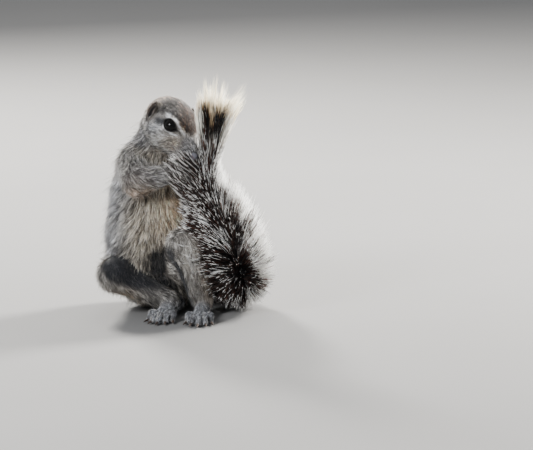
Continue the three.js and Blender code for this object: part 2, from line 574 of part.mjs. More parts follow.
// a claw for each toe or finger, from inside its tip
function claws(name, wider = 0) {
  const [digs, o] = DIGITS[name], onFoot = name.startsWith('foot');
  return digs.map((q) => {
    const root = add(q.t, unit(sub(q.t, q.m)), 0.2);
    const tip = add(add(q.t, q.dd, o.tip * 0.6 + CLAW.length), [0, 0, onFoot ? -CLAW.drop * 0.6 : 0]);
    const axis = unit(sub(tip, root)), length = len(sub(tip, root)) + wider * 2.5;
    const g = new THREE.ConeGeometry(CLAW.radius + wider, length, 6, 1);
    g.applyQuaternion(new THREE.Quaternion().setFromUnitVectors(new THREE.Vector3(0, 1, 0), new THREE.Vector3(...axis)));
    g.translate(...add(root, axis, length / 2));
    return solidFrom(g);
  });
}

for (const [name, [h, target]] of Object.entries(PIECES)) {
  const field = pieceField(name);
  const box = tightBox(field, ...boxOf(name));
  let [P, T] = contour(field, ...box, h);
  [P, T] = decimate(P, T, target);
  for (let i = 2; i < P.length; i += 3) if (P[i] < 0.15) P[i] = 0;      // the flats it rests on
  let solid = solidOf(P, T);
  if (DIGITS[name]) for (const claw of claws(name)) solid = solid.add(claw);
  if (name === 'tail_4' || name === 'tail_5') {       // the hair parts round the claws that hold it
    for (const hand of Object.keys(HANDS)) for (const claw of claws(hand, 0.8)) solid = solid.subtract(claw);
    solid = solid.decompose().sort((u, v) => v.volume() - u.volume())[0];
  }
  const key = name.replace(/_[rl]$/, '').replace(/_\d$/, '');
  const color = COAT[key] ?? (/arm/.test(key) ? COAT.arm : COAT.leg);
  place(name, geometryOf(solid), look(color, 0.9));
}

// eyes, ears and nose
for (const [name, e] of Object.entries(EYES)) {
  const g = mergeVertices(new THREE.SphereGeometry(EYE.radius, 14, 9).deleteAttribute('normal').deleteAttribute('uv'));
  g.computeVertexNormals();
  place(name, g, look(0x14100d, 0.08)).position.set(...e.at);
}
for (const [name, e] of Object.entries(EARS)) {
  const frame = new THREE.Matrix4().makeBasis(...e.axes.map((a) => new THREE.Vector3(...a)));
  const outer = new THREE.SphereGeometry(1, 12, 8).scale(...EAR.radii);
  const inner = new THREE.SphereGeometry(1, 9, 6).scale(EAR.radii[0] * 0.62, EAR.radii[1] * 1.0, EAR.radii[2] * 0.72).translate(0, EAR.radii[1] * 0.95, 0);
  const g = geometryOf(solidFrom(outer).subtract(solidFrom(inner)));
  if (frame.determinant() < 0) {       // a mirrored ear has its faces turned back out
    const idx = g.index.array;
    for (let t = 0; t < idx.length; t += 3) [idx[t], idx[t + 1]] = [idx[t + 1], idx[t]];
  }
  g.applyMatrix4(frame).translate(...e.at);
  g.computeVertexNormals();
  place(name, g, look(0x8a7a6c, 0.85));
}
const nose = new THREE.SphereGeometry(1, 10, 7).scale(...NOSE.radii);
nose.applyMatrix4(new THREE.Matrix4().makeBasis(new THREE.Vector3(...HF), new THREE.Vector3(...HL), new THREE.Vector3(...HU)));
place('nose', geometryOf(solidFrom(nose)), look(0x6b5a5e, 0.5)).position.set(...NOSE_AT);

export default group;
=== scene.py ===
import math
import bpy
import numpy as np
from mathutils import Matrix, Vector


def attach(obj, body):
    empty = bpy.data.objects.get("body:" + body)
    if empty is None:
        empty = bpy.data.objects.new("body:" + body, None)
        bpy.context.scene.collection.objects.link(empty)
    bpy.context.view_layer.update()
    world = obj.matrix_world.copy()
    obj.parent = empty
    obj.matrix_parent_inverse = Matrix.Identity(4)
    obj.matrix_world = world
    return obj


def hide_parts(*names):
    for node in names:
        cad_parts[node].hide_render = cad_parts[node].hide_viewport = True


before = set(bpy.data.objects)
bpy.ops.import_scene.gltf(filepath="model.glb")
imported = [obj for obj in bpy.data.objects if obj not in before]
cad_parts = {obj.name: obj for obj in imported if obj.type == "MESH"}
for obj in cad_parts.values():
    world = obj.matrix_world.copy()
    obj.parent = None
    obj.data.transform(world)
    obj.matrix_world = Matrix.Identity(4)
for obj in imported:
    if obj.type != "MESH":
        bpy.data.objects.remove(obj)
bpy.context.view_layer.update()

# A Cape ground squirrel sitting on its haunches, grooming its tail.
# Sizes are in millimetres here, and go to metres as each mesh is made.
RNG = np.random.default_rng(20)

# [sizes]
# landmarks, mm: X to the animal's left, Y to its back, Z up
LANDMARKS = {
  "pelvis": [0.0, 0.0, 29.1], "belly": [-1.9, -14.1, 58.1], "chest": [-2.8, -15.9, 91.9],
  "withers": [0.0, -13.1, 113.4], "nape_low": [-0.9, -14.1, 116.2], "nape_high": [5.6, -24.4, 136.9],
  "shoulder_r": [-15.9, -24.4, 112.5], "elbow_r": [-14.1, -49.7, 103.1], "wrist_r": [9.4, -61.9, 110.8],
  "palm_r": [19.7, -64.2, 110.2], "shoulder_l": [20.6, -22.5, 112.5], "elbow_l": [31.9, -37.5, 92.8],
  "wrist_l": [30.5, -41.2, 105.0], "palm_l": [34.2, -43.6, 112.0], "hip_r": [-15.0, -3.8, 33.8],
  "knee_r": [-30.9, -38.4, 31.9], "ankle_r": [6.6, -34.7, 12.2], "heel_r": [13.1, -23.4, 7.0],
  "ball_r": [4.7, -56.2, 5.2], "hip_l": [15.9, -3.8, 34.7], "knee_l": [20.6, -48.8, 55.3],
  "ankle_l": [31.9, -34.7, 14.1], "heel_l": [34.7, -27.2, 7.0], "ball_l": [31.9, -63.8, 5.2],
}
HEAD_AT = [12.1, -33.8, 143.3]
HEAD_FORWARD = [0.473, -0.801, -0.367]
HEAD_UP = [0.404, -0.173, 0.898]
# trunk: part, centre, radii, blend, coat depth
TRUNK = [
  ["trunk_lower", "pelvis", [34.69, 32.81, 30.94], 0.0, 4.5],
  ["trunk_lower", "belly", [38.44, 32.81, 32.81], 20.62, 4.5],
  ["trunk_upper", "chest", [32.81, 29.06, 30.0], 20.62, 4.31],
  ["trunk_upper", "withers", [23.44, 21.56, 17.81], 15.0, 3.75],
]
# limbs and neck: part, from, radius, to, radius, blend, coat depth at each end
LIMBS = [
  ["neck", "nape_low", 21.56, "nape_high", 19.22, 12.19, 3.56, 2.81],
  ["upper_arm_r", "shoulder_r", 14.53, "elbow_r", 11.72, 8.44, 3.0, 2.44],
  ["forearm_r", "elbow_r", 11.25, "wrist_r", 7.97, 4.69, 2.44, 1.5],
  ["hand_r", "wrist_r", 7.5, "palm_r", 6.38, 2.81, 1.41, 0.84],
  ["upper_arm_l", "shoulder_l", 14.53, "elbow_l", 11.72, 8.44, 3.0, 2.44],
  ["forearm_l", "elbow_l", 11.25, "wrist_l", 7.97, 4.69, 2.44, 1.5],
  ["hand_l", "wrist_l", 7.5, "palm_l", 6.38, 2.81, 1.41, 0.84],
  ["thigh_r", "hip_r", 24.38, "knee_r", 14.06, 7.5, 3.75, 2.81],
  ["shank_r", "knee_r", 13.12, "ankle_r", 8.91, 4.69, 2.62, 1.5],
  ["foot_r", "heel_r", 7.03, "ball_r", 5.81, 3.75, 1.12, 0.75],
  ["thigh_l", "hip_l", 25.31, "knee_l", 13.59, 7.5, 3.75, 2.81],
  ["shank_l", "knee_l", 13.59, "ankle_l", 9.84, 4.69, 2.62, 1.5],
  ["foot_l", "heel_l", 7.03, "ball_l", 5.81, 3.75, 1.12, 0.75],
]
# head, in its own frame (forward, left, up): centre, radii, blend, coat depth
HEAD_BLOBS = [
  [[-4.69, 0.0, 0.47], [21.09, 19.22, 18.28], 8.44, 1.59],
  [[7.97, 0.0, 3.0], [16.41, 16.41, 12.94], 6.56, 1.22],
  [[2.81, 9.38, -7.5], [15.0, 10.78, 11.25], 5.62, 1.69],
  [[2.81, -9.38, -7.5], [15.0, 10.78, 11.25], 5.62, 1.69],
  [[30.0, 4.31, -10.12], [7.03, 5.62, 5.44], 3.28, 0.75],
  [[30.0, -4.31, -10.12], [7.03, 5.62, 5.44], 3.28, 0.75],
  [[35.62, 0.0, -7.69], [4.41, 4.59, 4.03], 2.34, 0.38],
]
# head: from, radius, to, radius, blend, coat depth at each end
HEAD_CONES = [
  [[9.38, 0.0, -3.28], 13.69, [30.47, 0.0, -7.69], 9.09, 5.62, 1.22, 0.75],
  [[-3.75, 0.0, -11.25], 9.38, [25.31, 0.0, -14.06], 5.06, 4.69, 1.69, 0.94],
]
# hand: forward, across, fingers
HANDS = {
  "hand_r": {"forward": [0.95, 0.25, -0.15], "across": [0.1, 0.25, 0.96]},
  "hand_l": {"forward": [0.42, -0.66, 0.62], "across": [0.75, 0.65, 0.1]},
}
TOE = {"count": 5, "spread": 3.09, "length": 14.06, "root": 3.09, "tip": 2.16, "fan": 0.16, "rise": 1.31}
FINGER = {"count": 4, "spread": 2.91, "length": 11.25, "root": 2.44, "tip": 1.78, "fan": 0.15, "rise": 1.12}
CLAW = {"length": 7.5, "radius": 1.08, "drop": 1.5}
# the tail's line: point, radius of the hair, radius of the flesh
TAIL = [
  [[1.9, 26.2, 15.9], 15.94, 7.97],
  [[29.1, 30.9, 15.0], 15.94, 6.56],
  [[53.4, 17.8, 16.9], 18.75, 5.91],
  [[61.9, -3.8, 22.5], 23.44, 5.44],
  [[59.1, -25.3, 33.8], 30.0, 5.06],
  [[52.5, -39.4, 56.2], 31.88, 4.69],
  [[44.1, -48.8, 78.8], 28.12, 4.31],
  [[37.5, -55.3, 96.6], 20.62, 3.94],
  [[38.0, -58.1, 111.6], 10.78, 3.66],
  [[39.4, -59.1, 127.5], 8.91, 3.28],
  [[41.2, -58.1, 140.6], 11.25, 2.91],
  [[44.5, -56.2, 152.8], 17.34, 2.44],
  [[46.9, -54.4, 163.1], 18.75, 0.0],
]
# eye, ear and nose, in the head's frame
EYE = {"at": [14.06, 11.16, 4.5], "radius": 5.62}
EAR = {"at": [-7.03, 17.53, 4.22], "radii": [3.75, 2.16, 6.56], "turn": -5}
NOSE = {"at": [38.44, 0.0, -6.38], "radii": [2.34, 3.09, 2.53]}
# [end of sizes]
TAIL_BLEND = 5.6


# ------------------------------------------------------------------ helpers
def unit(v):
    v = np.asarray(v, float)
    return v / (np.linalg.norm(v, axis=-1, keepdims=True) + 1e-12)


def at(p):
    return np.asarray(LANDMARKS[p] if isinstance(p, str) else p, float)


def smooth(a, b, x):
    t = np.clip((np.asarray(x, float) - a) / (b - a), 0, 1)
    return t * t * (3 - 2 * t)


def mix(a, b, t):
    t = np.asarray(t)[..., None]
    return np.asarray(a) * (1 - t) + np.asarray(b) * t


HF = unit(HEAD_FORWARD)
HU = unit(np.asarray(HEAD_UP) - HF * float(np.dot(HEAD_UP, HF)))
HL = np.cross(HU, HF)
HEAD_R = np.stack([HF, HL, HU], 1)


def head_point(p):
    return np.asarray(HEAD_AT, float) + HEAD_R @ np.asarray(p, float)


def head_local(p):
    return (p - np.asarray(HEAD_AT)) @ HEAD_R


def value_noise(p, scale, seed=0):
    """smooth random value from -1 to 1 at points p, with features of the given size"""
    q = np.asarray(p, float) / scale + seed * 17.31
    i = np.floor(q).astype(np.int64)
    f = q - i
    f = f * f * (3 - 2 * f)
    out = 0
    for c in range(8):
        o = np.array([(c >> 2) & 1, (c >> 1) & 1, c & 1])
        h = i + o
        n = (h[:, 0] * 374761393 + h[:, 1] * 668265263 + h[:, 2] * 2147483647 + seed * 1013904223) & 0x7FFFFFFF
        n = ((n ^ (n >> 13)) * 1274126177) & 0x7FFFFFFF
        n = (n ^ (n >> 16)) & 0xFFFF
        w = np.prod(np.where(o, f, 1 - f), axis=1)
        out = out + w * (n / 32767.5 - 1)
    return out


# ------------------------------------------------------------- the body's form
def digits(base, d, l, up, o):
    out = []
    n = o["count"]
    for i in range(n):
        s = i - (n - 1) / 2
        w = 1 - 0.4 * s * s / (n - 1)
        dd = unit(d + l * s * o["fan"])
        a = base + l * s * o["spread"] - d * 1.4 * abs(s)
        m = a + dd * o["length"] * 0.55 * w + up * o["rise"]
        t = a + dd * o["length"] * w - up * (o["rise"] + 0.94)
        out.append((a, m, t, dd))
    return out


def foot_digits(side):
    b, h = at("ball_" + side), at("heel_" + side)
    d = b - h
    d[2] = 0
    d = unit(d)
    out = digits(b + np.array([0, 0, -0.47]), d, np.cross([0, 0, 1.0], d), np.array([0, 0, 1.0]), TOE)
    for q in out:
        q[2][2] = TOE["tip"] - 0.14
    return out


def hand_digits(part):
    h = HANDS[part]
    d = unit(h["forward"])
    l = np.asarray(h["across"], float)
    l = unit(l - d * (l @ d))
    return digits(at("palm_" + part[-1]), d, l, np.cross(d, l), FINGER)


DIGITS = {"foot_r": (foot_digits("r"), TOE), "foot_l": (foot_digits("l"), TOE),
          "hand_r": (hand_digits("hand_r"), FINGER), "hand_l": (hand_digits("hand_l"), FINGER)}


class Form:
    """an ellipsoid or a round cone, with the depth of coat over it"""
    def __init__(self, part, k, coat, c=None, r=None, R=np.eye(3), a=None, b=None, ra=0, rb=0, sa=None, sb=None):
        self.part, self.k, self.coat = part, k, coat
        self.c, self.r, self.R = c, None if r is None else np.asarray(r, float), R
        self.a, self.b, self.ra, self.rb, self.sa, self.sb = a, b, ra, rb, sa, sb

    def along(self, p):
        ba = self.b - self.a
        return np.clip((p - self.a) @ ba / (ba @ ba), 0, 1)

    def dist(self, p, skin=False):
        if self.r is not None:
            r = self.r - (self.coat[0] if skin else 0)
            x = (p - self.c) @ self.R
            k0 = np.sqrt(((x / r) ** 2).sum(-1))
            k1 = np.sqrt(((x / (r * r)) ** 2).sum(-1)) + 1e-9
            return k0 * (k0 - 1) / k1
        t = self.along(p)
        ra, rb = self.ra, self.rb
        if skin:
            ra, rb = (ra - self.coat[0], rb - self.coat[1]) if self.sa is None else (self.sa, self.sb)
        d = p - self.a - t[:, None] * (self.b - self.a)
        return np.sqrt((d * d).sum(-1)) - (ra + (rb - ra) * t)


BODY = [Form(part, k, (coat, coat), c=at(c), r=r) for part, c, r, k, coat in TRUNK]
BODY += [Form(part, k, (ca, cb), a=at(a), b=at(b), ra=ra, rb=rb) for part, a, ra, b, rb, k, ca, cb in LIMBS]
for part, (digs, o) in DIGITS.items():
    for a, m, t, dd in digs:
        BODY.append(Form(part, 1.5, (0.8, 0.6), a=a, b=m, ra=o["root"], rb=o["root"] * 0.9))
        BODY.append(Form(part, 1.1, (0.6, 0.45), a=m, b=t, ra=o["root"] * 0.9, rb=o["tip"]))
BODY += [Form("head", k, (ca, cb), a=head_point(a), b=head_point(b), ra=ra, rb=rb) for a, ra, b, rb, k, ca, cb in HEAD_CONES]
BODY += [Form("head", k, (coat, coat), c=head_point(c), r=r, R=HEAD_R) for c, r, k, coat in HEAD_BLOBS]
TAILS = [Form("tail", (TAIL_BLEND if i < 7 else 2.8) if i else 0, (0, 0), a=np.array(TAIL[i][0], float), b=np.array(TAIL[i + 1][0], float),
              ra=TAIL[i][1], rb=TAIL[i + 1][1], sa=TAIL[i][2], sb=TAIL[i + 1][2]) for i in range(len(TAIL) - 1)]


def smin(a, b, k):
    if k <= 0:
        return np.minimum(a, b)
    h = np.maximum(k - np.abs(a - b), 0) / k
    return np.minimum(a, b) - h * h * k * 0.25


def smax(a, b, k):
    return -smin(-a, -b, k)


def fold(p, forms, skin=False):
    f = None
    for q in forms:
        d = q.dist(p, skin)
        f = d if f is None else smin(f, d, q.k)
    return f


def field(p, forms, skin=False, size=8.0):
    """distance from the blended forms: in cells, with only the forms that count in each"""
    if len(p) < 3000:
        return fold(p, forms, skin)
    c = np.floor(p / size).astype(np.int64)
    key = ((c[:, 0] + 512) * 2048 + c[:, 1] + 512) * 2048 + c[:, 2] + 512
    order = np.argsort(key, kind="stable")
    cut = np.flatnonzero(np.diff(key[order])) + 1
    starts, ends = np.concatenate([[0], cut]), np.concatenate([cut, [len(p)]])
    mids = (c[order[starts]] + 0.5) * size
    D = np.stack([q.dist(mids, skin) for q in forms], 1)
    keep = D < D.min(1, keepdims=True) + size * 1.95 + np.maximum([q.k for q in forms], 9.0)
    f = np.empty(len(p))
    for i, (u, v) in enumerate(zip(starts, ends)):
        k = order[u:v]
        f[k] = fold(p[k], [forms[j] for j in np.flatnonzero(keep[i])], skin)
    return f


def capsule(p, a, b, ra, rb=None):
    rb = ra if rb is None else rb
    ba = b - a
    t = np.clip((p - a) @ ba / (ba @ ba), 0, 1)
    return np.linalg.norm(p - a - t[..., None] * ba, axis=-1) - (ra + (rb - ra) * t)


# --------------------------------------------------------- the face's details
EYES = {}
for side, s in (("r", -1), ("l", 1)):
    c = head_point([EYE["at"][0], EYE["at"][1] * s, EYE["at"][2]])
    out = HEAD_R @ unit([0.30, s * 0.93, 0.22])
    fwd = HEAD_R @ unit([1.0, 0.0, -0.06])             # to the front corner
    fwd = unit(fwd - out * (fwd @ out))
    EYES[side] = dict(c=c, out=out, fwd=fwd, up=np.cross(out, fwd) * (-s), s=s)
EARS = {}
for side, s in (("r", -1), ("l", 1)):
    t = math.radians(EAR["turn"])
    long = HEAD_R @ np.array([-math.sin(t), 0, math.cos(t)])
    wide = HEAD_R @ np.array([math.cos(t), 0, math.sin(t)])
    out = HEAD_R @ unit([-0.05, s, 0.12])
    EARS[side] = dict(c=head_point([EAR["at"][0], EAR["at"][1] * s, EAR["at"][2]]), long=long, wide=wide, out=out, s=s)
NOSE_AT = head_point(NOSE["at"])


def lid_opening(p, e, grow=0.0):
    """negative inside the gap between the lids"""
    q = p - e["c"]
    x, y = q @ e["fwd"], q @ e["up"]
    hl, hh = 5.5 + grow, 3.7 + grow
    rad = (hh * hh + hl * hl) / (2 * hh)
    top = np.hypot(x, y + (rad - hh)) - rad
    bot = np.hypot(x, y - (rad - hh)) - rad
    return np.maximum(top, bot)


def near(p, c, r):
    return ((p - c) ** 2).sum(-1) < r * r


def skin_field(p, flesh_only=False):
    body = field(p, BODY, True)
    f = smin(body, field(p, [q for q in TAILS if q.sb > 0], True), 5)
    # bare and thinly haired places stand nearly as far out as the coat does
    for c, r in ((np.array(HEAD_AT), 48.0),):
        m = near(p, c, r)
        if not m.any():
            continue
        q, g = p[m], f[m]
        h = head_local(q)
        ha = h.copy()
        ha[:, 1] = np.abs(ha[:, 1])
        # nose pad, nostrils and the cleft below them
        n = h - np.array(NOSE["at"])
        r3 = np.array(NOSE["radii"]) * [1.0, 1.0, 0.95]
        k0 = np.sqrt(((n / r3) ** 2).sum(-1))
        pad = (k0 - 1) * r3.min()
        g = smin(g, pad, 1.0)
        na = n.copy()
        na[:, 1] = np.abs(na[:, 1])
        hole = capsule(na, np.array([2.2, 0.95, -0.35]), np.array([0.3, 2.7, 0.45]), 0.62, 0.45)
        g = smax(g, -hole, 0.35)
        cleft = capsule(ha, np.array(NOSE["at"]) + [2.3, 0, -1.4], np.array(NOSE["at"]) + [-0.6, 0, -5.2], 0.38)
        g = smax(g, -cleft, 0.5)
        m0 = np.array(NOSE["at"]) + [-0.6, 0.0, -5.4]
        m1 = m0 + [-4.4, 3.9, -1.0]
        m2 = m0 + [-10.5, 5.9, 0.6]
        mouth = np.minimum(capsule(ha, m0, m1, 0.42), capsule(ha, m1, m2, 0.42, 0.25))
        g = smax(g, -mouth, 0.6)
        # the brow, and the lids over each eyeball
        for e in EYES.values():
            v = q - e["c"]
            ball = np.linalg.norm(v, axis=-1)
            x, y = v @ e["fwd"], v @ e["up"]
            brow = capsule(v, e["up"] * 4.6 - e["fwd"] * 3.4 + e["out"] * 1.5, e["up"] * 4.4 + e["fwd"] * 3.2 + e["out"] * 1.4, 1.2, 0.9)
            g = smin(g, brow, 2.0)
            g = smin(g, ball - (EYE["radius"] + 0.62), 1.2)
            gap = np.maximum(lid_opening(q, e), -(v @ e["out"]) + 0.5)
            g = smax(g, -gap, 0.5)
            tear = capsule(v, e["fwd"] * 4.6 + e["out"] * 2.4, e["fwd"] * 7.4 + e["out"] * 1.3 - e["up"] * 0.5, 0.5, 0.3)
            g = smax(g, -tear, 0.5)
            g = np.maximum(g, -(ball - (EYE["radius"] + 0.04)))
        # each ear is a low oval rim round a deep opening
        for e in EARS.values():
            v = q - e["c"]
            x, y, z = v @ e["wide"], v @ e["out"], v @ e["long"]
            ring = np.sqrt((np.hypot(x / 3.3, z / 6.3) - 1) ** 2 * 16 + ((y + 0.1) / 1.0) ** 2) - 0.95
            rim = np.where(x < 0, ring, ring + 0.25)
            g = smin(g, rim, 1.0)
            hole = np.sqrt((x / 2.6) ** 2 + (z / 5.4) ** 2 + (np.minimum(y - 0.4, 0) / 3.4) ** 2) - 1
            g = smax(g, -np.maximum(hole * 2.4, -(y + 6)), 0.6)
        f = f.copy()
        f[m] = g
    # creases between the toes' pads stay, and the sole is flat on the floor
    return smax(f, 0.25 - p[:, 2], 0.3)


def graded(lo, hi, wide, fine, a, b, m=8):
    """grid lines from lo to hi, closer together between a and b, in a multiple of m steps"""
    x = [lo]
    while x[-1] < hi or (len(x) - 1) % m:
        t = min(smooth(a - 9, a, x[-1]), smooth(b + 9, b, x[-1]))
        x.append(x[-1] + wide + (fine - wide) * float(t))
    return np.array(x)


def surface(fn, X, m=8):
    """a closed quad mesh of where fn is zero on the grid lines X, worked out only near it"""
    N = np.array([len(x) for x in X])
    n = (N - 1) // m
    C = np.stack(np.meshgrid(*[(x[:-1:m] + x[m::m]) / 2 for x in X], indexing="ij"), -1).reshape(-1, 3)
    S_ = np.stack(np.meshgrid(*[x[m::m] - x[:-1:m] for x in X], indexing="ij"), -1).reshape(-1, 3)
    Fc = fn(C)
    F = Fc.reshape(n)
    for i in range(3):
        F = np.repeat(F, m, i)
    F = np.pad(F, ((0, 1), (0, 1), (0, 1)), mode="edge").astype(np.float32)
    close = np.abs(Fc) < np.linalg.norm(S_, axis=1) * 0.5 * 1.35 + 2
    idx = np.argwhere(close.reshape(n))
    g = np.arange(m + 1)
    off = np.stack(np.meshgrid(g, g, g, indexing="ij"), -1).reshape(-1, 3)
    flat = (idx[:, None, :] * m + off[None]).reshape(-1, 3)
    key = np.unique((flat[:, 0] * N[1] + flat[:, 1]) * N[2] + flat[:, 2])
    ijk = np.stack([key // (N[1] * N[2]), key // N[2] % N[1], key % N[2]], 1)
    vals = np.empty(len(key), np.float32)
    for s in range(0, len(key), 700000):
        k = ijk[s:s + 700000]
        vals[s:s + 700000] = fn(np.stack([X[i][k[:, i]] for i in range(3)], 1))
    F.reshape(-1)[key] = vals
    S = F < 0
    act = np.zeros((N[0] - 1, N[1] - 1, N[2] - 1), bool)
    for ax in range(3):
        sl = [slice(None)] * 3
        sh = [slice(None)] * 3
        sl[ax] = slice(0, -1)
        sh[ax] = slice(1, None)
        x = S[tuple(sl)] ^ S[tuple(sh)]
        o = [a for a in range(3) if a != ax]
        for da in (0, 1):
            for db in (0, 1):
                t = [slice(None)] * 3
                t[o[0]] = slice(da, x.shape[o[0]] - 1 + da)
                t[o[1]] = slice(db, x.shape[o[1]] - 1 + db)
                act |= x[tuple(t)]
    cells = np.argwhere(act)
    vid = -np.ones(act.shape, np.int64)
    vid[act] = np.arange(len(cells))
    corners = [(a, b, c) for a in (0, 1) for b in (0, 1) for c in (0, 1)]
    val = {c: F[cells[:, 0] + c[0], cells[:, 1] + c[1], cells[:, 2] + c[2]] for c in corners}
    acc = np.zeros((len(cells), 3))
    cnt = np.zeros(len(cells))
    for a in corners:
        for ax in range(3):
            if a[ax] == 0:
                b = list(a)
                b[ax] = 1
                fa, fb = val[a], val[tuple(b)]
                cr = (fa < 0) ^ (fb < 0)
                t = np.where(cr, fa / np.where(cr, fa - fb, 1), 0)
                pt = np.tile(np.array(a, float), (len(cells), 1))
                pt[:, ax] += t
                acc += pt * cr[:, None]
                cnt += cr
    acc /= cnt[:, None]
    V = np.stack([X[i][cells[:, i]] * (1 - acc[:, i]) + X[i][cells[:, i] + 1] * acc[:, i] for i in range(3)], 1)
    quads = []
    for ax in range(3):
        sl = [slice(1, -1)] * 3
        sl[ax] = slice(0, -1)
        sh = [slice(1, -1)] * 3
        sh[ax] = slice(1, None)
        A, B = S[tuple(sl)], S[tuple(sh)]
        e = np.argwhere(A ^ B)
        flip = A[e[:, 0], e[:, 1], e[:, 2]]
        e = e + 1
        e[:, ax] -= 1
        o = [(ax + 1) % 3, (ax + 2) % 3]

        def cell(da, db):
            c = e.copy()
            c[:, o[0]] -= da
            c[:, o[1]] -= db
            return vid[c[:, 0], c[:, 1], c[:, 2]]
        q = np.stack([cell(1, 1), cell(0, 1), cell(0, 0), cell(1, 0)], 1)
        q[~flip] = q[~flip][:, ::-1]
        quads.append(q)
    return V, np.concatenate(quads)


def gradient(fn, p, e=0.2):
    g = np.empty_like(p)
    for i in range(3):
        d = np.zeros(3)
        d[i] = e
        g[:, i] = (fn(p + d) - fn(p - d)) / (2 * e)
    return g


# --------------------------------------------- which part a point belongs to
PART_OF = {"trunk_lower": "trunk", "trunk_upper": "trunk", "neck": "neck", "head": "head", "tail": "tail"}


def share(p):
    """soft shares of each part at points p, and each part's own distance"""
    names = sorted({q.part for q in BODY}) + ["tail"]
    D = {}
    for q in BODY + [q for q in TAILS if q.sb > 0]:
        d = q.dist(p, True)
        D[q.part] = d if q.part not in D else np.minimum(D[q.part], d)
    M = np.stack([D[n] for n in names], 1)
    W = np.exp(-np.clip(M - M.min(1, keepdims=True), 0, 60) / 2.2)
    W /= W.sum(1, keepdims=True)
    return {n: W[:, i] for i, n in enumerate(names)}


def coat_depth(p):
    return field(p, BODY, True) - field(p, BODY, False)


def lie(p, n, w):
    """the way the hair lies at points p with normals n"""
    f = np.zeros_like(p)
    side = np.sign(p[:, 0] - 0) * smooth(2, 22, np.abs(p[:, 0]))
    front = smooth(-0.2, 0.6, -n[:, 1])
    trunk = np.stack([0.62 * side * front, 0.10 - 0.25 * (1 - front), -np.ones(len(p))], 1)
    low = smooth(40, 14, p[:, 2])
    trunk[:, 1] += 0.5 * low * (1 - front)
    for name in ("trunk_lower", "trunk_upper"):
        f += w[name][:, None] * unit(trunk)
    h = head_local(p)
    neck = -HF * 0.45 + np.array([0, 0.15, -0.95])
    f += w["neck"][:, None] * unit(neck + np.stack([0.35 * side * front, 0 * side, 0 * side], 1))
    ahead = np.stack([-np.ones(len(p)), np.sign(h[:, 1]) * 0.30 * smooth(30, 8, h[:, 0]), -0.42 * smooth(6, -12, h[:, 2]) + 0.12 * smooth(0, 12, h[:, 2])], 1)
    ahead = unit(ahead @ HEAD_R.T)
    for e in EARS.values():
        v = p - e["c"]
        pull = smooth(9.5, 6.5, np.linalg.norm(v, axis=1))[:, None]
        ahead = unit(ahead * (1 - pull) + pull * (1.3 * unit((v @ e["wide"])[:, None] * e["wide"] * 3 + (v @ e["long"])[:, None] * e["long"] * 0.6) + 0.25 * ahead))
    f += w["head"][:, None] * ahead
    for s in "rl":
        for name, a, b, drop in (("upper_arm_", "shoulder_", "elbow_", 0.35), ("forearm_", "elbow_", "wrist_", 0.45), ("hand_", "wrist_", "palm_", 0.0),
                                 ("thigh_", "hip_", "knee_", 0.5), ("shank_", "knee_", "ankle_", 0.2), ("foot_", "heel_", "ball_", 0.0)):
            d = unit(at(b + s) - at(a + s)) + np.array([0, 0, -drop])
            f += w[name + s][:, None] * unit(d)
    f += w["tail"][:, None] * unit(tail_way(p))
    f += 0.16 * np.stack([value_noise(p, 11, k) for k in (1, 2, 3)], 1)
    f -= n * (f * n).sum(1, keepdims=True)
    return unit(f)


TL = np.array([q[0] for q in TAIL], float)


def tail_curve(t):
    """the tail's line by Catmull-Rom, t from 0 to 1: point, tangent, hair radius, flesh radius"""
    n = len(TL) - 1
    x = np.clip(np.asarray(t, float), 0, 1) * n
    i = np.minimum(x.astype(int), n - 1)
    u = (x - i)[..., None]
    P = np.vstack([2 * TL[0] - TL[1], TL, 2 * TL[-1] - TL[-2]])
    a, b, c, d = P[i], P[i + 1], P[i + 2], P[i + 3]
    pt = 0.5 * (2 * b + (c - a) * u + (2 * a - 5 * b + 4 * c - d) * u ** 2 + (3 * b - a - 3 * c + d) * u ** 3)
    tg = 0.5 * ((c - a) + 2 * (2 * a - 5 * b + 4 * c - d) * u + 3 * (3 * b - a - 3 * c + d) * u ** 2)
    R = np.array([q[1] for q in TAIL], float)
    S = np.array([q[2] for q in TAIL], float)
    u = u[..., 0]
    return pt, unit(tg), R[i] * (1 - u) + R[i + 1] * u, S[i] * (1 - u) + S[i + 1] * u


def tail_way(p):
    t = np.linspace(0, 1, 240)
    c, tg, _, _ = tail_curve(t)
    best = np.zeros(len(p), int)
    bd = np.full(len(p), 1e9)
    for k in range(0, 240, 2):
        d = ((p - c[k]) ** 2).sum(1)
        m = d < bd
        bd[m] = d[m]
        best[m] = k
    return tg[best]


# ------------------------------------------------------------------ markings
def srgb(r, g, b):
    c = np.array([r, g, b], float) / 255
    return np.where(c <= 0.04045, c / 12.92, ((c + 0.055) / 1.055) ** 2.4)


CREAM = srgb(214, 203, 186)
WHITE = srgb(240, 234, 222)
BUFF = srgb(186, 158, 124)
TAN = srgb(196, 156, 112)
CINNAMON = srgb(150, 112, 78)
BROWN = srgb(92, 72, 56)
GREY = srgb(142, 134, 126)
DARK = srgb(44, 38, 36)
BLACK = srgb(20, 17, 16)
# dark bare skin, also used as painted shade inside the thighs and in the groin
SKIN_DARK_AND_SHADE = srgb(18, 20, 26)
SKIN_PINK = srgb(120, 92, 84)


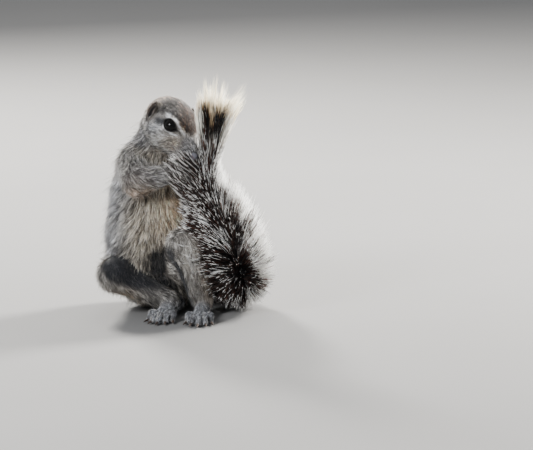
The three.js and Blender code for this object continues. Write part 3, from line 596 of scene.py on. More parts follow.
def marking(p, n, w):
    """colour of the coat's tips and of its roots, and how much it is grizzled"""
    N = len(p)
    x, y, z = p.T
    tip = np.tile(srgb(253, 242, 222), (N, 1))
    root = np.tile(srgb(68, 57, 48), (N, 1))
    grizzle = np.full(N, 0.34)
    patchy = value_noise(p, 16, 5)
    # back: grizzled cinnamon, the belly creamy white, a white stripe along each side
    back = smooth(-0.10, 0.60, n[:, 1] + 0.12 * value_noise(p, 14, 6))
    trunk = w["trunk_lower"] + w["trunk_upper"] + w["neck"]
    tip = mix(tip, srgb(172, 140, 110), back * 0.9)
    root = mix(root, srgb(74, 58, 48), back)
    grizzle = grizzle + 0.22 * back
    ang = np.degrees(np.arctan2(np.abs(x + 1), y))            # 0 at the back, 90 at the side
    bend = 60 - 0.10 * (z - 80) + 3 * value_noise(p, 20, 8)
    stripe = np.exp(-(np.abs(ang - bend) / 8.0) ** 2.6) * smooth(26, 50, z) * smooth(126, 104, z)
    tip = mix(tip, srgb(246, 242, 232), 0.92 * stripe * trunk)
    root = mix(root, srgb(176, 164, 146), 0.8 * stripe * trunk)
    grizzle = grizzle * (1 - 0.9 * stripe * trunk)
    front = 1 - back
    flank = smooth(0.25, 0.9, -n[:, 0]) * front
    tip = mix(tip, srgb(244, 247, 254), flank * 0.9)           # cool white right flank
    root = mix(root, srgb(66, 67, 74), flank * 0.8)
    warm = np.exp(-(((x - 20) / 17) ** 2 + ((z - 84) / 21) ** 2)) * front
    tip = mix(tip, srgb(255, 228, 190), 0.9 * warm)
    root = mix(root, srgb(250, 208, 166), warm)
    low = np.exp(-(((x - 12) / 22) ** 2 + ((z - 62) / 20) ** 2)) * front
    tip = mix(tip, srgb(236, 216, 188), 0.45 * low)
    tip = mix(tip, srgb(214, 190, 158), 0.25 * smooth(0.1, 0.8, patchy) * front)
    # head: places are given across (X) and up (Y) from the eye, in three quarter millimetres,
    # as the head is seen from in front and to one side, the same on both sides
    h = head_local(p)
    hx, hy, hz = h[:, 0], np.abs(h[:, 1]), h[:, 2]
    ex, ey, ez = EYE["at"]
    X = (0.473 * (hx - ex) - 0.783 * (hy - ey) + 0.404 * (hz - ez)) / 0.75
    Y = (-0.500 * (hx - ex) + 0.138 * (hy - ey) + 0.854 * (hz - ez)) / 0.75
    by_eye = smooth(19, 15, np.sqrt((hx - ex) ** 2 + (hy - ey) ** 2 + (hz - ez) ** 2)) * smooth(3.0, 6.0, hy)
    edge = np.interp(X, [-32, -22, -8, -3, 3, 7, 12, 20, 32], [15, 13, 11, 11, 8, 1, -7, -11.5, -13])
    crown = smooth(-1.2, 1.8, Y - edge + 1.5 * value_noise(p, 4, 30))
    head_tip = mix(np.tile(srgb(214, 209, 203), (N, 1)), srgb(28, 25, 25), crown)
    head_root = mix(np.tile(srgb(62, 58, 56), (N, 1)), srgb(15, 12, 12), crown)
    warm_brow = crown * smooth(3, 14, X)
    head_tip = mix(head_tip, srgb(56, 33, 20), warm_brow * 0.9)
    head_root = mix(head_root, srgb(28, 16, 11), warm_brow)
    behind = crown * smooth(-1, -15, hx)
    head_tip = mix(head_tip, srgb(146, 120, 96), behind * 0.85)
    head_root = mix(head_root, srgb(60, 48, 40), behind * 0.85)
    muzzle = smooth(9, 14, X + 0.35 * (-12 - Y)) * smooth(-10.5, -14.5, Y - 0.10 * (X - 10)) * (1 - crown)
    head_tip = mix(head_tip, srgb(196, 197, 201), muzzle * 0.95)
    head_root = mix(head_root, srgb(50, 48, 50), muzzle * 0.9)
    cheek = np.exp(-(((X - 2) / 9) ** 2 + ((Y + 17) / 7) ** 2)) * (1 - crown)
    head_tip = mix(head_tip, srgb(190, 170, 144), cheek * 0.85)
    tan_low = np.exp(-(((X + 1) / 6) ** 2 + ((Y + 22) / 4) ** 2)) * (1 - crown)
    head_tip = mix(head_tip, srgb(150, 118, 90), tan_low * 0.6)
    jowl = np.exp(-(((X + 18) / 9) ** 2 + ((Y + 2) / 6) ** 2)) * (1 - crown)
    head_tip = mix(head_tip, srgb(214, 220, 228), jowl * 0.8)
    chin = smooth(-10, -15, hz) * smooth(4, 14, hx) * (1 - muzzle)
    head_tip = mix(head_tip, srgb(226, 222, 214), chin * 0.7)
    temple = np.exp(-((np.hypot((X + 12.0) / 5.6, (Y - 4.6) / 4.4)) ** 3)) * smooth(6, 10, hy)
    head_tip = mix(head_tip, srgb(48, 56, 66), temple * 0.95)
    head_root = mix(head_root, srgb(20, 24, 30), temple * 0.9)

    Xn = X + 0.8 * value_noise(p, 1.7, 51) * (1 - crown * 0.3)
    Yn = Y + 0.8 * value_noise(p, 1.7, 52)

    def line(pts, wide, soft=2.4):
        """how near a point is to a line drawn through pts"""
        d = np.full(N, 1e9)
        for (x0, y0), (x1, y1) in zip(pts[:-1], pts[1:]):
            t = np.clip(((Xn - x0) * (x1 - x0) + (Yn - y0) * (y1 - y0)) / ((x1 - x0) ** 2 + (y1 - y0) ** 2), 0, 1)
            d = np.minimum(d, np.hypot(Xn - x0 - t * (x1 - x0), Yn - y0 - t * (y1 - y0)))
        return np.exp(-(d / wide) ** soft) * by_eye
    pale_spot_and_sun_patch = np.exp(-(np.hypot((Xn + 3.4) / 2.7, (Yn - 9.6) / 2.5)) ** 3) * by_eye
    over = line([(-2.5, 8), (2.2, 6.4), (5.0, 3.4), (7.4, -1.5)], 0.85) + 0.6 * line([(7.4, -1.5), (10.2, -6.4), (12.5, -9.4)], 0.8)
    buff = line([(7.0, 1.5), (9.5, -3.5), (12.5, -7.5)], 1.7)
    under = line([(-8.5, -0.5), (-4.6, -4.6), (0, -7.9), (4.6, -9.9)], 0.95)
    back_line = line([(-22.5, 3.2), (-16, 0.2), (-10.0, -2.6)], 1.1)
    head_tip = mix(head_tip, srgb(206, 186, 160), 0.8 * buff)
    pale = np.clip(pale_spot_and_sun_patch + over + under + 0.7 * back_line, 0, 1)
    head_tip = mix(head_tip, srgb(246, 248, 250), pale)
    head_root = mix(head_root, srgb(190, 190, 192), pale)
    tear = line([(5.2, -5.0), (7.6, -7.4), (9.4, -9.6)], 1.0)
    # the dark rim follows the lids
    speck = value_noise(p, 1.25, 61)
    amount = np.clip(0.55 * crown + 0.30 * muzzle + 0.22, 0, 0.75)
    head_tip = head_tip * np.clip(1 + amount * 1.5 * speck, 0.3, 2.2)[:, None]
    head_root = head_root * np.clip(1 + amount * speck, 0.4, 1.8)[:, None]
    fleck = smooth(0.20, 0.42, value_noise(p, 1.15, 62)) * np.clip(crown + 0.5 * muzzle, 0, 1)
    head_tip = mix(head_tip, mix(np.tile(srgb(152, 146, 140), (N, 1)), srgb(158, 122, 92), warm_brow), fleck * 0.85)
    lid = np.full(N, 9.0)
    for e in EYES.values():
        m = near(p, e["c"], 9)
        lid[m] = np.minimum(lid[m], lid_opening(p[m], e))
    rimline = smooth(1.20, 0.96, lid) * by_eye
    corner = line([(-6.0, 4.6), (-8.4, 5.4)], 0.9)
    dark = np.clip(tear + rimline + 0.6 * corner, 0, 1)
    head_tip = mix(head_tip, BLACK, dark)
    head_root = mix(head_root, BLACK, dark)
    # the ear's edges, and rows of dark whisker roots on the muzzle
    ee = EAR["at"]
    er = np.hypot((hx - ee[0]) / 3.4, (hz - ee[2]) / 6.3)
    ear_edge = np.exp(-(np.abs(er - 1.25) / 0.18) ** 2) * smooth(10, 14, hy) * smooth(-1, 2, hx - ee[0])
    head_tip = mix(head_tip, srgb(200, 188, 170), ear_edge * 0.8)
    ear_rim = np.exp(-(np.abs(er - 1.0) / 0.16) ** 2) * smooth(10, 14, hy)
    head_tip = mix(head_tip, srgb(58, 50, 48), ear_rim * np.where(h[:, 1] > 0, 0.3, 0.8))
    wob = 0.7 * value_noise(p, 3, 41)
    dots = smooth(0.25, 0.6, np.sin((X + wob) * 2 * math.pi / 3.3) * np.sin((Y + 0.3 * X - wob) * 2 * math.pi / 2.7)) * muzzle
    head_tip = mix(head_tip, BLACK, dots * 0.8)
    head_root = mix(head_root, BLACK, dots * 0.8)
    wh = w["head"]
    tip = tip * (1 - wh[:, None]) + head_tip * wh[:, None]
    root = root * (1 - wh[:, None]) + head_root * wh[:, None]
    grizzle = grizzle * (1 - 0.7 * warm)
    g_head = 0.30 + 0.40 * crown + 0.22 * muzzle
    grizzle = grizzle * (1 - wh) + g_head * (1 - 0.5 * pale) * (1 - dark) * wh
    # painted shadow: a dark patch at the throat, where the jaw and the forearm shade it
    throat_shadow = np.exp(-(((p - np.array([13.0, -40.0, 120.0])) / np.array([7.0, 14.0, 7.0])) ** 2).sum(1)) * (1 - wh)
    tip = tip * (1 - 0.62 * throat_shadow)[:, None]
    root = root * (1 - 0.5 * throat_shadow)[:, None]
    # painted shadow: dark brown under the jaw, in the gap between the jaw and the forearm
    under_jaw_shadow = np.exp(-(np.hypot((X + 0.5) / 5.5, (Y + 31) / 5.0)) ** 3) * smooth(0.3, -0.2, n[:, 1])
    tip = mix(tip, srgb(62, 46, 37), 0.85 * under_jaw_shadow)
    root = mix(root, srgb(26, 20, 17), 0.85 * under_jaw_shadow)
    # arms: pale grizzled grey, warm at the elbow; legs the same, with pale shanks
    for s in "rl":
        arm = w["upper_arm_" + s] + w["forearm_" + s] + w["hand_" + s]
        e = np.exp(-(((p - at("elbow_" + s) - np.array([2, -3, -9])) / 11) ** 2).sum(1))
        a_tip = mix(np.tile(srgb(222, 218, 212), (N, 1)), srgb(236, 208, 182), np.clip(e * 1.5, 0, 0.85))
        a_tip = mix(a_tip, srgb(160, 160, 164), w["forearm_" + s] * (1 - np.clip(e * 1.5, 0, 1)) * 0.7)
        a_tip = mix(a_tip, srgb(150, 120, 94), smooth(0.1, 0.8, n[:, 1]) * 0.7)
        tip = tip * (1 - arm[:, None]) + a_tip * arm[:, None]
        a_root = mix(np.tile(srgb(58, 54, 53), (N, 1)), srgb(118, 98, 88), np.clip(e * 1.4, 0, 0.8))
        root = root * (1 - arm[:, None]) + a_root * arm[:, None]
        grizzle = grizzle * (1 - arm) + 0.36 * arm
        leg = w["thigh_" + s] + w["shank_" + s] + w["foot_" + s]
        l_tip = mix(np.tile(srgb(214, 209, 202), (N, 1)), srgb(176, 146, 114), smooth(-0.2, 0.7, n[:, 1]) * 0.85)
        l_tip = mix(l_tip, srgb(190, 194, 202), w["foot_" + s] * 0.9)
        l_root = mix(np.tile(srgb(58, 54, 53), (N, 1)), srgb(70, 70, 72), w["foot_" + s] * 0.9)
        if s == "l":
            shin = w["shank_l"] + 0.6 * w["thigh_l"]
            l_tip = mix(l_tip, srgb(244, 240, 234), shin * 0.7)
            l_root = mix(l_root, srgb(132, 124, 116), shin * 0.6)
            edge = smooth(0.1, 0.8, n[:, 0]) * shin                # brownish towards the tail
            l_tip = mix(l_tip, srgb(168, 142, 118), edge * 0.8)
            # painted light: a near-white patch on the left shank, a pool of sunlight painted on the fur
            pale_spot_and_sun_patch = np.exp(-(((x - 24.5) / 6.5) ** 2 + ((z - 48) / 10.0) ** 2) ** 1.5) * shin
            l_tip = mix(l_tip, srgb(255, 252, 246), np.clip(pale_spot_and_sun_patch * 1.2, 0, 1))
            l_root = mix(l_root, srgb(236, 228, 216), np.clip(pale_spot_and_sun_patch * 1.2, 0, 1))
        else:
            toe_side = np.exp(-(((p - np.array([-28.0, -38.0, 16.0])) / np.array([12, 14, 9])) ** 2).sum(1))
            l_tip = mix(l_tip, srgb(206, 172, 130), toe_side * 0.8)
        tip = tip * (1 - leg[:, None]) + l_tip * leg[:, None]
        root = root * (1 - leg[:, None]) + l_root * leg[:, None]
        grizzle = grizzle * (1 - leg) + 0.36 * leg
    # creases and curved rows of hair behind the jaw: the dark rows are painted shade in the neck's creases
    d = np.linalg.norm(p - head_point([10, 0, 2]), axis=1)
    rows = 0.5 + 0.5 * np.sin(d * 2 * math.pi / 3.6 + 1.6 * value_noise(p, 10, 31))
    crease_shade = smooth(20, 25, d) * smooth(54, 44, d) * smooth(2, -6, hz) * smooth(0.2, -0.3, n[:, 1]) * np.clip(w["head"] + w["neck"] + 0.8 * w["trunk_upper"] + 0.6 * w["upper_arm_r"], 0, 1)
    tip = tip * (1 - 0.88 * rows ** 1.7 * crease_shade)[:, None]
    root = root * (1 - 0.6 * rows * crease_shade)[:, None]
    tl = w["tail"]
    tip = tip * (1 - tl[:, None]) + srgb(96, 74, 58) * tl[:, None]
    root = root * (1 - tl[:, None]) + srgb(60, 46, 38) * tl[:, None]
    return tip, root, grizzle


def bare_and_shade(p, n, w):
    """how bare the skin is: dark thin hair inside the thighs and on the soles, with painted shade inside the thighs
    and in the groin, where the legs shade the belly
    """
    b = np.zeros(len(p))
    ragged = 0.10 * value_noise(p, 4, 33)
    legr = np.clip(w["thigh_r"] + w["shank_r"], 0, 1)
    inner = smooth(0.10, 0.34, n @ unit([0.30, -0.60, 0.74]) - 0.16 + ragged)
    b = np.maximum(b, smooth(0.25, 0.6, legr) * inner * smooth(16, 26, p[:, 2]))
    legl = np.clip(w["thigh_l"] + w["shank_l"], 0, 1)
    b = np.maximum(b, legl * smooth(0.64, 0.84, n @ unit([-0.95, -0.20, -0.1]) + ragged) * smooth(64, 50, p[:, 2]))
    # the groin on each side of the lower belly's hair: dark sparse skin, deepened with painted shade of the gap
    # between belly and thigh
    groin = np.exp(-((p[:, 0] - 3 + 12 * ragged) / 11.5) ** 4) * smooth(62, 53, p[:, 2] - 0.4 * (p[:, 0] - 3) + 30 * ragged) * smooth(0.1, 0.5, -n[:, 1])
    b = np.maximum(b, groin * smooth(0.2, 0.5, w["trunk_lower"]))
    feet = w["foot_r"] + w["foot_l"] + w["hand_r"] * 0.6 + w["hand_l"] * 0.6
    b = np.maximum(b, feet * smooth(-0.3, -0.75, n[:, 2]))
    return np.clip(b, 0, 1)


def face_bare(p):
    """nose pad, eye rims, inside of the ears: no hair at all"""
    h = head_local(p)
    k = np.sqrt((((h - np.array(NOSE["at"])) / (np.array(NOSE["radii"]) * 1.12)) ** 2).sum(1))
    nose = smooth(1.18, 1.0, k)
    eye = np.zeros(len(p))
    ear = np.zeros(len(p))
    for e in EYES.values():
        m = near(p, e["c"], 9)
        eye[m] = np.maximum(eye[m], smooth(0.9, 0.35, lid_opening(p[m], e)) * (((p[m] - e["c"]) @ e["out"]) > 0))
    for e in EARS.values():
        v = p - e["c"]
        x, y, z = v @ e["wide"], v @ e["out"], v @ e["long"]
        m = near(p, e["c"], 10)
        inside = smooth(1.08, 0.92, np.hypot(x / 2.7, z / 5.6))
        ear[m] = np.maximum(ear[m], inside[m])
    return nose, eye, ear


# ------------------------------------------------------------------ materials
def material(name, rough=0.6, sheen=0.0, spec=0.5, coat=0.0, bump=0.25, bump_scale=900.0, colour=None, vary=0.10, vary_scale=160.0, subsurface=0.0):
    m = bpy.data.materials.new(name)
    m.use_nodes = True
    nt = m.node_tree
    b = nt.nodes["Principled BSDF"]
    b.inputs["Specular IOR Level"].default_value = spec
    b.inputs["Sheen Weight"].default_value = sheen
    b.inputs["Sheen Roughness"].default_value = 0.45
    b.inputs["Coat Weight"].default_value = coat
    b.inputs["Coat Roughness"].default_value = 0.04
    b.inputs["Subsurface Weight"].default_value = subsurface
    b.inputs["Subsurface Radius"].default_value = (0.004, 0.003, 0.0022)
    b.inputs["Subsurface Scale"].default_value = 1.0
    tc = nt.nodes.new("ShaderNodeTexCoord")
    n1 = nt.nodes.new("ShaderNodeTexNoise")
    n1.inputs["Scale"].default_value = vary_scale
    n1.inputs["Detail"].default_value = 4
    nt.links.new(tc.outputs["Object"], n1.inputs["Vector"])
    if colour is None:
        src = nt.nodes.new("ShaderNodeAttribute")
        src.attribute_name = "tint"
        base = src.outputs["Color"]
    else:
        ramp = nt.nodes.new("ShaderNodeValToRGB")
        for i, (pos, c) in enumerate(colour):
            e = ramp.color_ramp.elements[i] if i < 2 else ramp.color_ramp.elements.new(pos)
            e.position = pos
            e.color = (*c, 1)
        nt.links.new(n1.outputs["Fac"], ramp.inputs["Fac"])
        base = ramp.outputs["Color"]
    mapr = nt.nodes.new("ShaderNodeMapRange")
    mapr.inputs["To Min"].default_value = 1 - vary
    mapr.inputs["To Max"].default_value = 1 + vary
    nt.links.new(n1.outputs["Fac"], mapr.inputs["Value"])
    mul = nt.nodes.new("ShaderNodeVectorMath")
    mul.operation = "SCALE"
    nt.links.new(base, mul.inputs[0])
    nt.links.new(mapr.outputs["Result"], mul.inputs["Scale"])
    nt.links.new(mul.outputs["Vector"], b.inputs["Base Color"])
    rr = nt.nodes.new("ShaderNodeMapRange")
    rr.inputs["To Min"].default_value = max(rough - 0.12, 0.02)
    rr.inputs["To Max"].default_value = min(rough + 0.12, 1)
    nt.links.new(n1.outputs["Fac"], rr.inputs["Value"])
    nt.links.new(rr.outputs["Result"], b.inputs["Roughness"])
    if bump:
        n2 = nt.nodes.new("ShaderNodeTexNoise")
        n2.inputs["Scale"].default_value = bump_scale
        n2.inputs["Detail"].default_value = 3
        nt.links.new(tc.outputs["Object"], n2.inputs["Vector"])
        bp = nt.nodes.new("ShaderNodeBump")
        bp.inputs["Strength"].default_value = bump
        bp.inputs["Distance"].default_value = 0.0006
        nt.links.new(n2.outputs["Fac"], bp.inputs["Height"])
        nt.links.new(bp.outputs["Normal"], b.inputs["Normal"])
    return m


def make(name, V, F, mat, tint=None, uv=None, smooth_shade=True):
    """a mesh in metres from points in millimetres; F is one array of faces of one size, or a list of such arrays"""
    F = F if isinstance(F, list) else [F]
    me = bpy.data.meshes.new(name)
    me.vertices.add(len(V))
    me.vertices.foreach_set("co", (np.asarray(V, np.float32) / 1000).ravel())
    loops = np.concatenate([f.ravel() for f in F])
    sizes = np.concatenate([np.full(len(f), f.shape[1]) for f in F])
    me.loops.add(len(loops))
    me.loops.foreach_set("vertex_index", loops.astype(np.int32))
    me.polygons.add(len(sizes))
    me.polygons.foreach_set("loop_start", np.concatenate([[0], np.cumsum(sizes)[:-1]]).astype(np.int32))
    me.update(calc_edges=True)
    me.validate()
    me.polygons.foreach_set("use_smooth", np.full(len(me.polygons), smooth_shade))
    if tint is not None:
        a = me.attributes.new("tint", "FLOAT_COLOR", "POINT")
        a.data.foreach_set("color", np.concatenate([np.clip(tint, 0, 1), np.ones((len(V), 1))], 1).astype(np.float32).ravel())
    if uv is not None:
        layer = me.uv_layers.new(name="OFBake")
        layer.uv.foreach_set("vector", uv[loops].astype(np.float32).ravel())
    me.materials.append(mat)
    o = bpy.data.objects.new(name, me)
    bpy.context.scene.collection.objects.link(o)
    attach(o, "root")
    return o


# ------------------------------------------------------------------ tufts
def spikes(path, radius, flat, side, tint, uv_at, patch=0.0030):
    """closed tapering three-sided spikes. path (n,k,3), radius (n,k-1), side (n,3) across the blade,
    tint (n,k,3), uv_at (n,2)"""
    n, k, _ = path.shape
    tan = np.empty_like(path)
    tan[:, 1:-1] = path[:, 2:] - path[:, :-2]
    tan[:, 0] = path[:, 1] - path[:, 0]
    tan[:, -1] = path[:, -1] - path[:, -2]
    tan = unit(tan)
    s = unit(side[:, None, :] - tan * (side[:, None, :] * tan).sum(-1, keepdims=True))
    b = np.cross(tan, s)
    rings = []
    for j in range(3):
        a = 2 * math.pi * j / 3 + math.pi / 2
        rings.append(path[:, :-1] + (s[:, :-1] * math.cos(a) + b[:, :-1] * math.sin(a) * flat) * radius[:, :, None])
    R = np.stack(rings, 2).reshape(n, (k - 1) * 3, 3)
    V = np.concatenate([R, path[:, -1:]], 1)
    nv = (k - 1) * 3 + 1
    faces = [[0, 2, 1]]
    for i in range(k - 2):
        for j in range(3):
            a, c = i * 3 + j, i * 3 + (j + 1) % 3
            faces += [[a, c, c + 3], [a, c + 3, a + 3]]
    t = (k - 2) * 3
    faces += [[t + j, t + (j + 1) % 3, nv - 1] for j in range(3)]
    faces = np.array(faces)
    F = (faces[None] + (np.arange(n) * nv)[:, None, None]).reshape(-1, 3)
    C = np.concatenate([np.repeat(tint[:, :-1], 3, axis=1), tint[:, -1:]], 1).reshape(-1, 3)
    u = np.array([[0.5, 0.0], [-0.5, -0.25], [-0.5, 0.25]])
    along = np.linspace(-0.5, 0.5, k)
    off = [[u[j][0], along[i] * 0.8 + u[j][1] * 0.2] for i in range(k - 1) for j in range(3)] + [[0.0, 0.5]]
    UV = uv_at[:, None, :] + np.array(off)[None] * patch
    return V.reshape(-1, 3), F, C, UV.reshape(-1, 2)


# the outline of the whole body, used to keep the tail's hair out of it
def push_out(P, clear=0.3):
    shape = P.shape
    q = P.reshape(-1, 3)
    for _ in range(2):
        f = field(q, BODY)
        m = f < clear
        if not m.any():
            break
        g = gradient(lambda x: field(x, BODY), q[m], 0.4)
        g /= np.maximum((g * g).sum(1, keepdims=True), 0.25)
        q[m] += g * (clear - f[m])[:, None]
    return q.reshape(shape)


import time
t_start = time.time()
HX, HY, HZ = HEAD_AT
GRID = [graded(-52, 92, 1.25, 0.46, HX - 20, HX + 33), graded(-92, 52, 1.25, 0.46, HY - 34, HY + 18), graded(-3, 172, 1.25, 0.46, HZ - 24, HZ + 21)]
V, Q = surface(skin_field, GRID)
print("skin", len(V), "in", round(time.time() - t_start, 1))
fn_ = np.cross(V[Q[:, 2]] - V[Q[:, 0]], V[Q[:, 3]] - V[Q[:, 1]])
N = np.zeros_like(V)
for j in range(4):
    for i in range(3):
        N[:, i] += np.bincount(Q[:, j], fn_[:, i], len(V))
N = unit(N)
W = share(V)
DEPTH = np.clip(-field(V, BODY), 0.3, 7)
tipc, rootc, griz = marking(V, N, W)
bareness_and_shade = bare_and_shade(V, N, W)
nose, eye, ear = face_bare(V)
print("markings", round(time.time() - t_start, 1))
# the skin's own colour: what shows between the hairs
tint = rootc * 0.8 + tipc * 0.12
# dark bare skin, which inside the thighs and in the groin is also painted shade
tint = mix(tint, SKIN_DARK_AND_SHADE, bareness_and_shade * 0.95)
tint = tint * (1 - 0.16 * (value_noise(V, 1.4, 9) * 0.5 + 0.5))[:, None]
tint = mix(tint, srgb(104, 104, 112), nose)
tint = mix(tint, srgb(14, 12, 11), eye)
# painted shade: the deep inside of each ear's opening is darkened nearly to black
ear_hole_shade = np.zeros(len(V))
for e in EARS.values():
    v = V - e["c"]
    m = near(V, e["c"], 10)
    er_ = np.hypot((v @ e["wide"]) / 2.6, (v @ e["long"]) / 5.4)
    ear_hole_shade[m] = np.maximum(ear_hole_shade[m], smooth(0.9, -0.2, (v @ e["out"])[m]) * (smooth(1.15, 0.95, er_) * smooth(0.35, 0.75, er_))[m])
tint = mix(tint, srgb(128, 118, 112), ear * 0.9)
tint = mix(tint, srgb(16, 13, 12), ear_hole_shade)
skin = make("skin", V, Q, material("skin_coat", rough=0.78, sheen=0.12, spec=0.25, bump=0.7, bump_scale=1400, vary=0.14, vary_scale=420), tint=tint)
print("skin made", round(time.time() - t_start, 1))

# ------------------------------------------------------------ the short coat
qa, qb, qc, qd = (V[Q[:, j]] for j in range(4))
area = 0.5 * (np.linalg.norm(np.cross(qb - qa, qc - qa), axis=1) + np.linalg.norm(np.cross(qc - qa, qd - qa), axis=1))
mid_w = {k: v[Q].mean(1) for k, v in W.items()}
mid = V[Q].mean(1)
qn, qe, qr = nose[Q].max(1), eye[Q].max(1), ear[Q].max(1)
open_ = (1 - smooth(0.2, 0.6, qn)) * (1 - smooth(0.1, 0.4, qe)) * (1 - smooth(0.35, 0.7, qr)) * smooth(0.3, 0.9, mid[:, 2])
head_here = mid_w["head"]
paws = sum(mid_w[k] for k in ("foot_r", "foot_l", "hand_r", "hand_l"))
limb = sum(mid_w[k + s] for k in ("upper_arm_", "forearm_", "thigh_", "shank_") for s in "rl")
bq = bareness_and_shade[Q].mean(1)


def scatter(dens, rng):
    """roots on the skin, so many to a square millimetre, with all that is known of each"""
    want = area * dens
    pick = np.repeat(np.arange(len(Q)), np.floor(want + rng.random(len(want))).astype(int))
    u, v = rng.random(len(pick)), rng.random(len(pick))
    ww = np.stack([(1 - u) * (1 - v), u * (1 - v), u * v, (1 - u) * v], 1)
    vi = Q[pick]

    def get(A):
        G = A[vi]
        return (G * ww[..., None]).sum(1) if G.ndim == 3 else (G * ww).sum(1)
    r = dict(p=get(V), n=unit(get(N)), w={k: get(x) for k, x in W.items()}, tip=get(tipc), root=get(rootc), griz=get(griz), bare_and_shade=get(bareness_and_shade), depth=get(DEPTH))
    r["way"] = lie(r["p"], r["n"], r["w"])
    return r


def around(p, a, b, ref):
    ax = unit(b - a)
    r = unit(ref - ax * (ref @ ax))
    s = np.cross(ax, r)
    q = p - a
    q = q - (q @ ax)[:, None] * ax
    return np.arctan2(q @ s, q @ r) / (2 * math.pi) + 0.5, np.clip((p - a) @ ax / np.linalg.norm(b - a), 0, 1)


def fit_uv(uv, lo=0.004, hi=0.996):
    a, b = uv.min(0), uv.max(0)
    return lo + (uv - a) / np.maximum(b - a, 1e-6) * (hi - lo)


def unwrap_trunk(p):
    cx = np.interp(p[:, 2], [0, 60, 120], [0, -2, 1])
    cy = np.interp(p[:, 2], [0, 60, 120], [0, -14, -14])
    return np.stack([np.arctan2(p[:, 0] - cx, -(p[:, 1] - cy)) / (2 * math.pi) + 0.5, p[:, 2] / 130], 1)


def unwrap_head(p):
    q = head_local(p)
    return np.stack([np.arctan2(q[:, 1], q[:, 2]) / (2 * math.pi) + 0.5, q[:, 0] / 80 + 0.5], 1)


def unwrap_limbs(p, ww, chain):
    """each part of a limb has its own strip: the right limb's on the left half, the left limb's on the right"""
    uv = np.zeros((len(p), 2))
    best = np.full(len(p), -1.0)
    for col, s in enumerate("rl"):
        for row, (stem, a, b) in enumerate(chain):
            share_ = ww[stem + s]
            uu, vv = around(p, at(a + s), at(b + s), np.array([0.3, 0.5, 1.0]))
            m = share_ > best
            best[m] = share_[m]
            uv[m, 0] = (col + 0.02 + 0.96 * uu[m]) / 2
            uv[m, 1] = (row + 0.02 + 0.96 * vv[m]) / len(chain)
    return uv


ARM = (("upper_arm_", "shoulder_", "elbow_"), ("forearm_", "elbow_", "wrist_"), ("hand_", "wrist_", "palm_"))
LEG = (("thigh_", "hip_", "knee_"), ("shank_", "knee_", "ankle_"), ("foot_", "heel_", "ball_"))
MATS = {
    "coat_head": material("coat_head", rough=0.68, sheen=0.08, spec=0.22, bump=0.0, vary=0.10, vary_scale=500),
    "coat_body": material("coat_body", rough=0.66, sheen=0.10, spec=0.22, bump=0.0, vary=0.10, vary_scale=400),
    "coat_limbs": material("coat_limbs", rough=0.68, sheen=0.10, spec=0.22, bump=0.0, vary=0.10, vary_scale=400),
    "coat_tail": material("coat_tail", rough=0.58, sheen=0.05, spec=0.2, bump=0.0, vary=0.10, vary_scale=300),
}
TOTAL = [0]


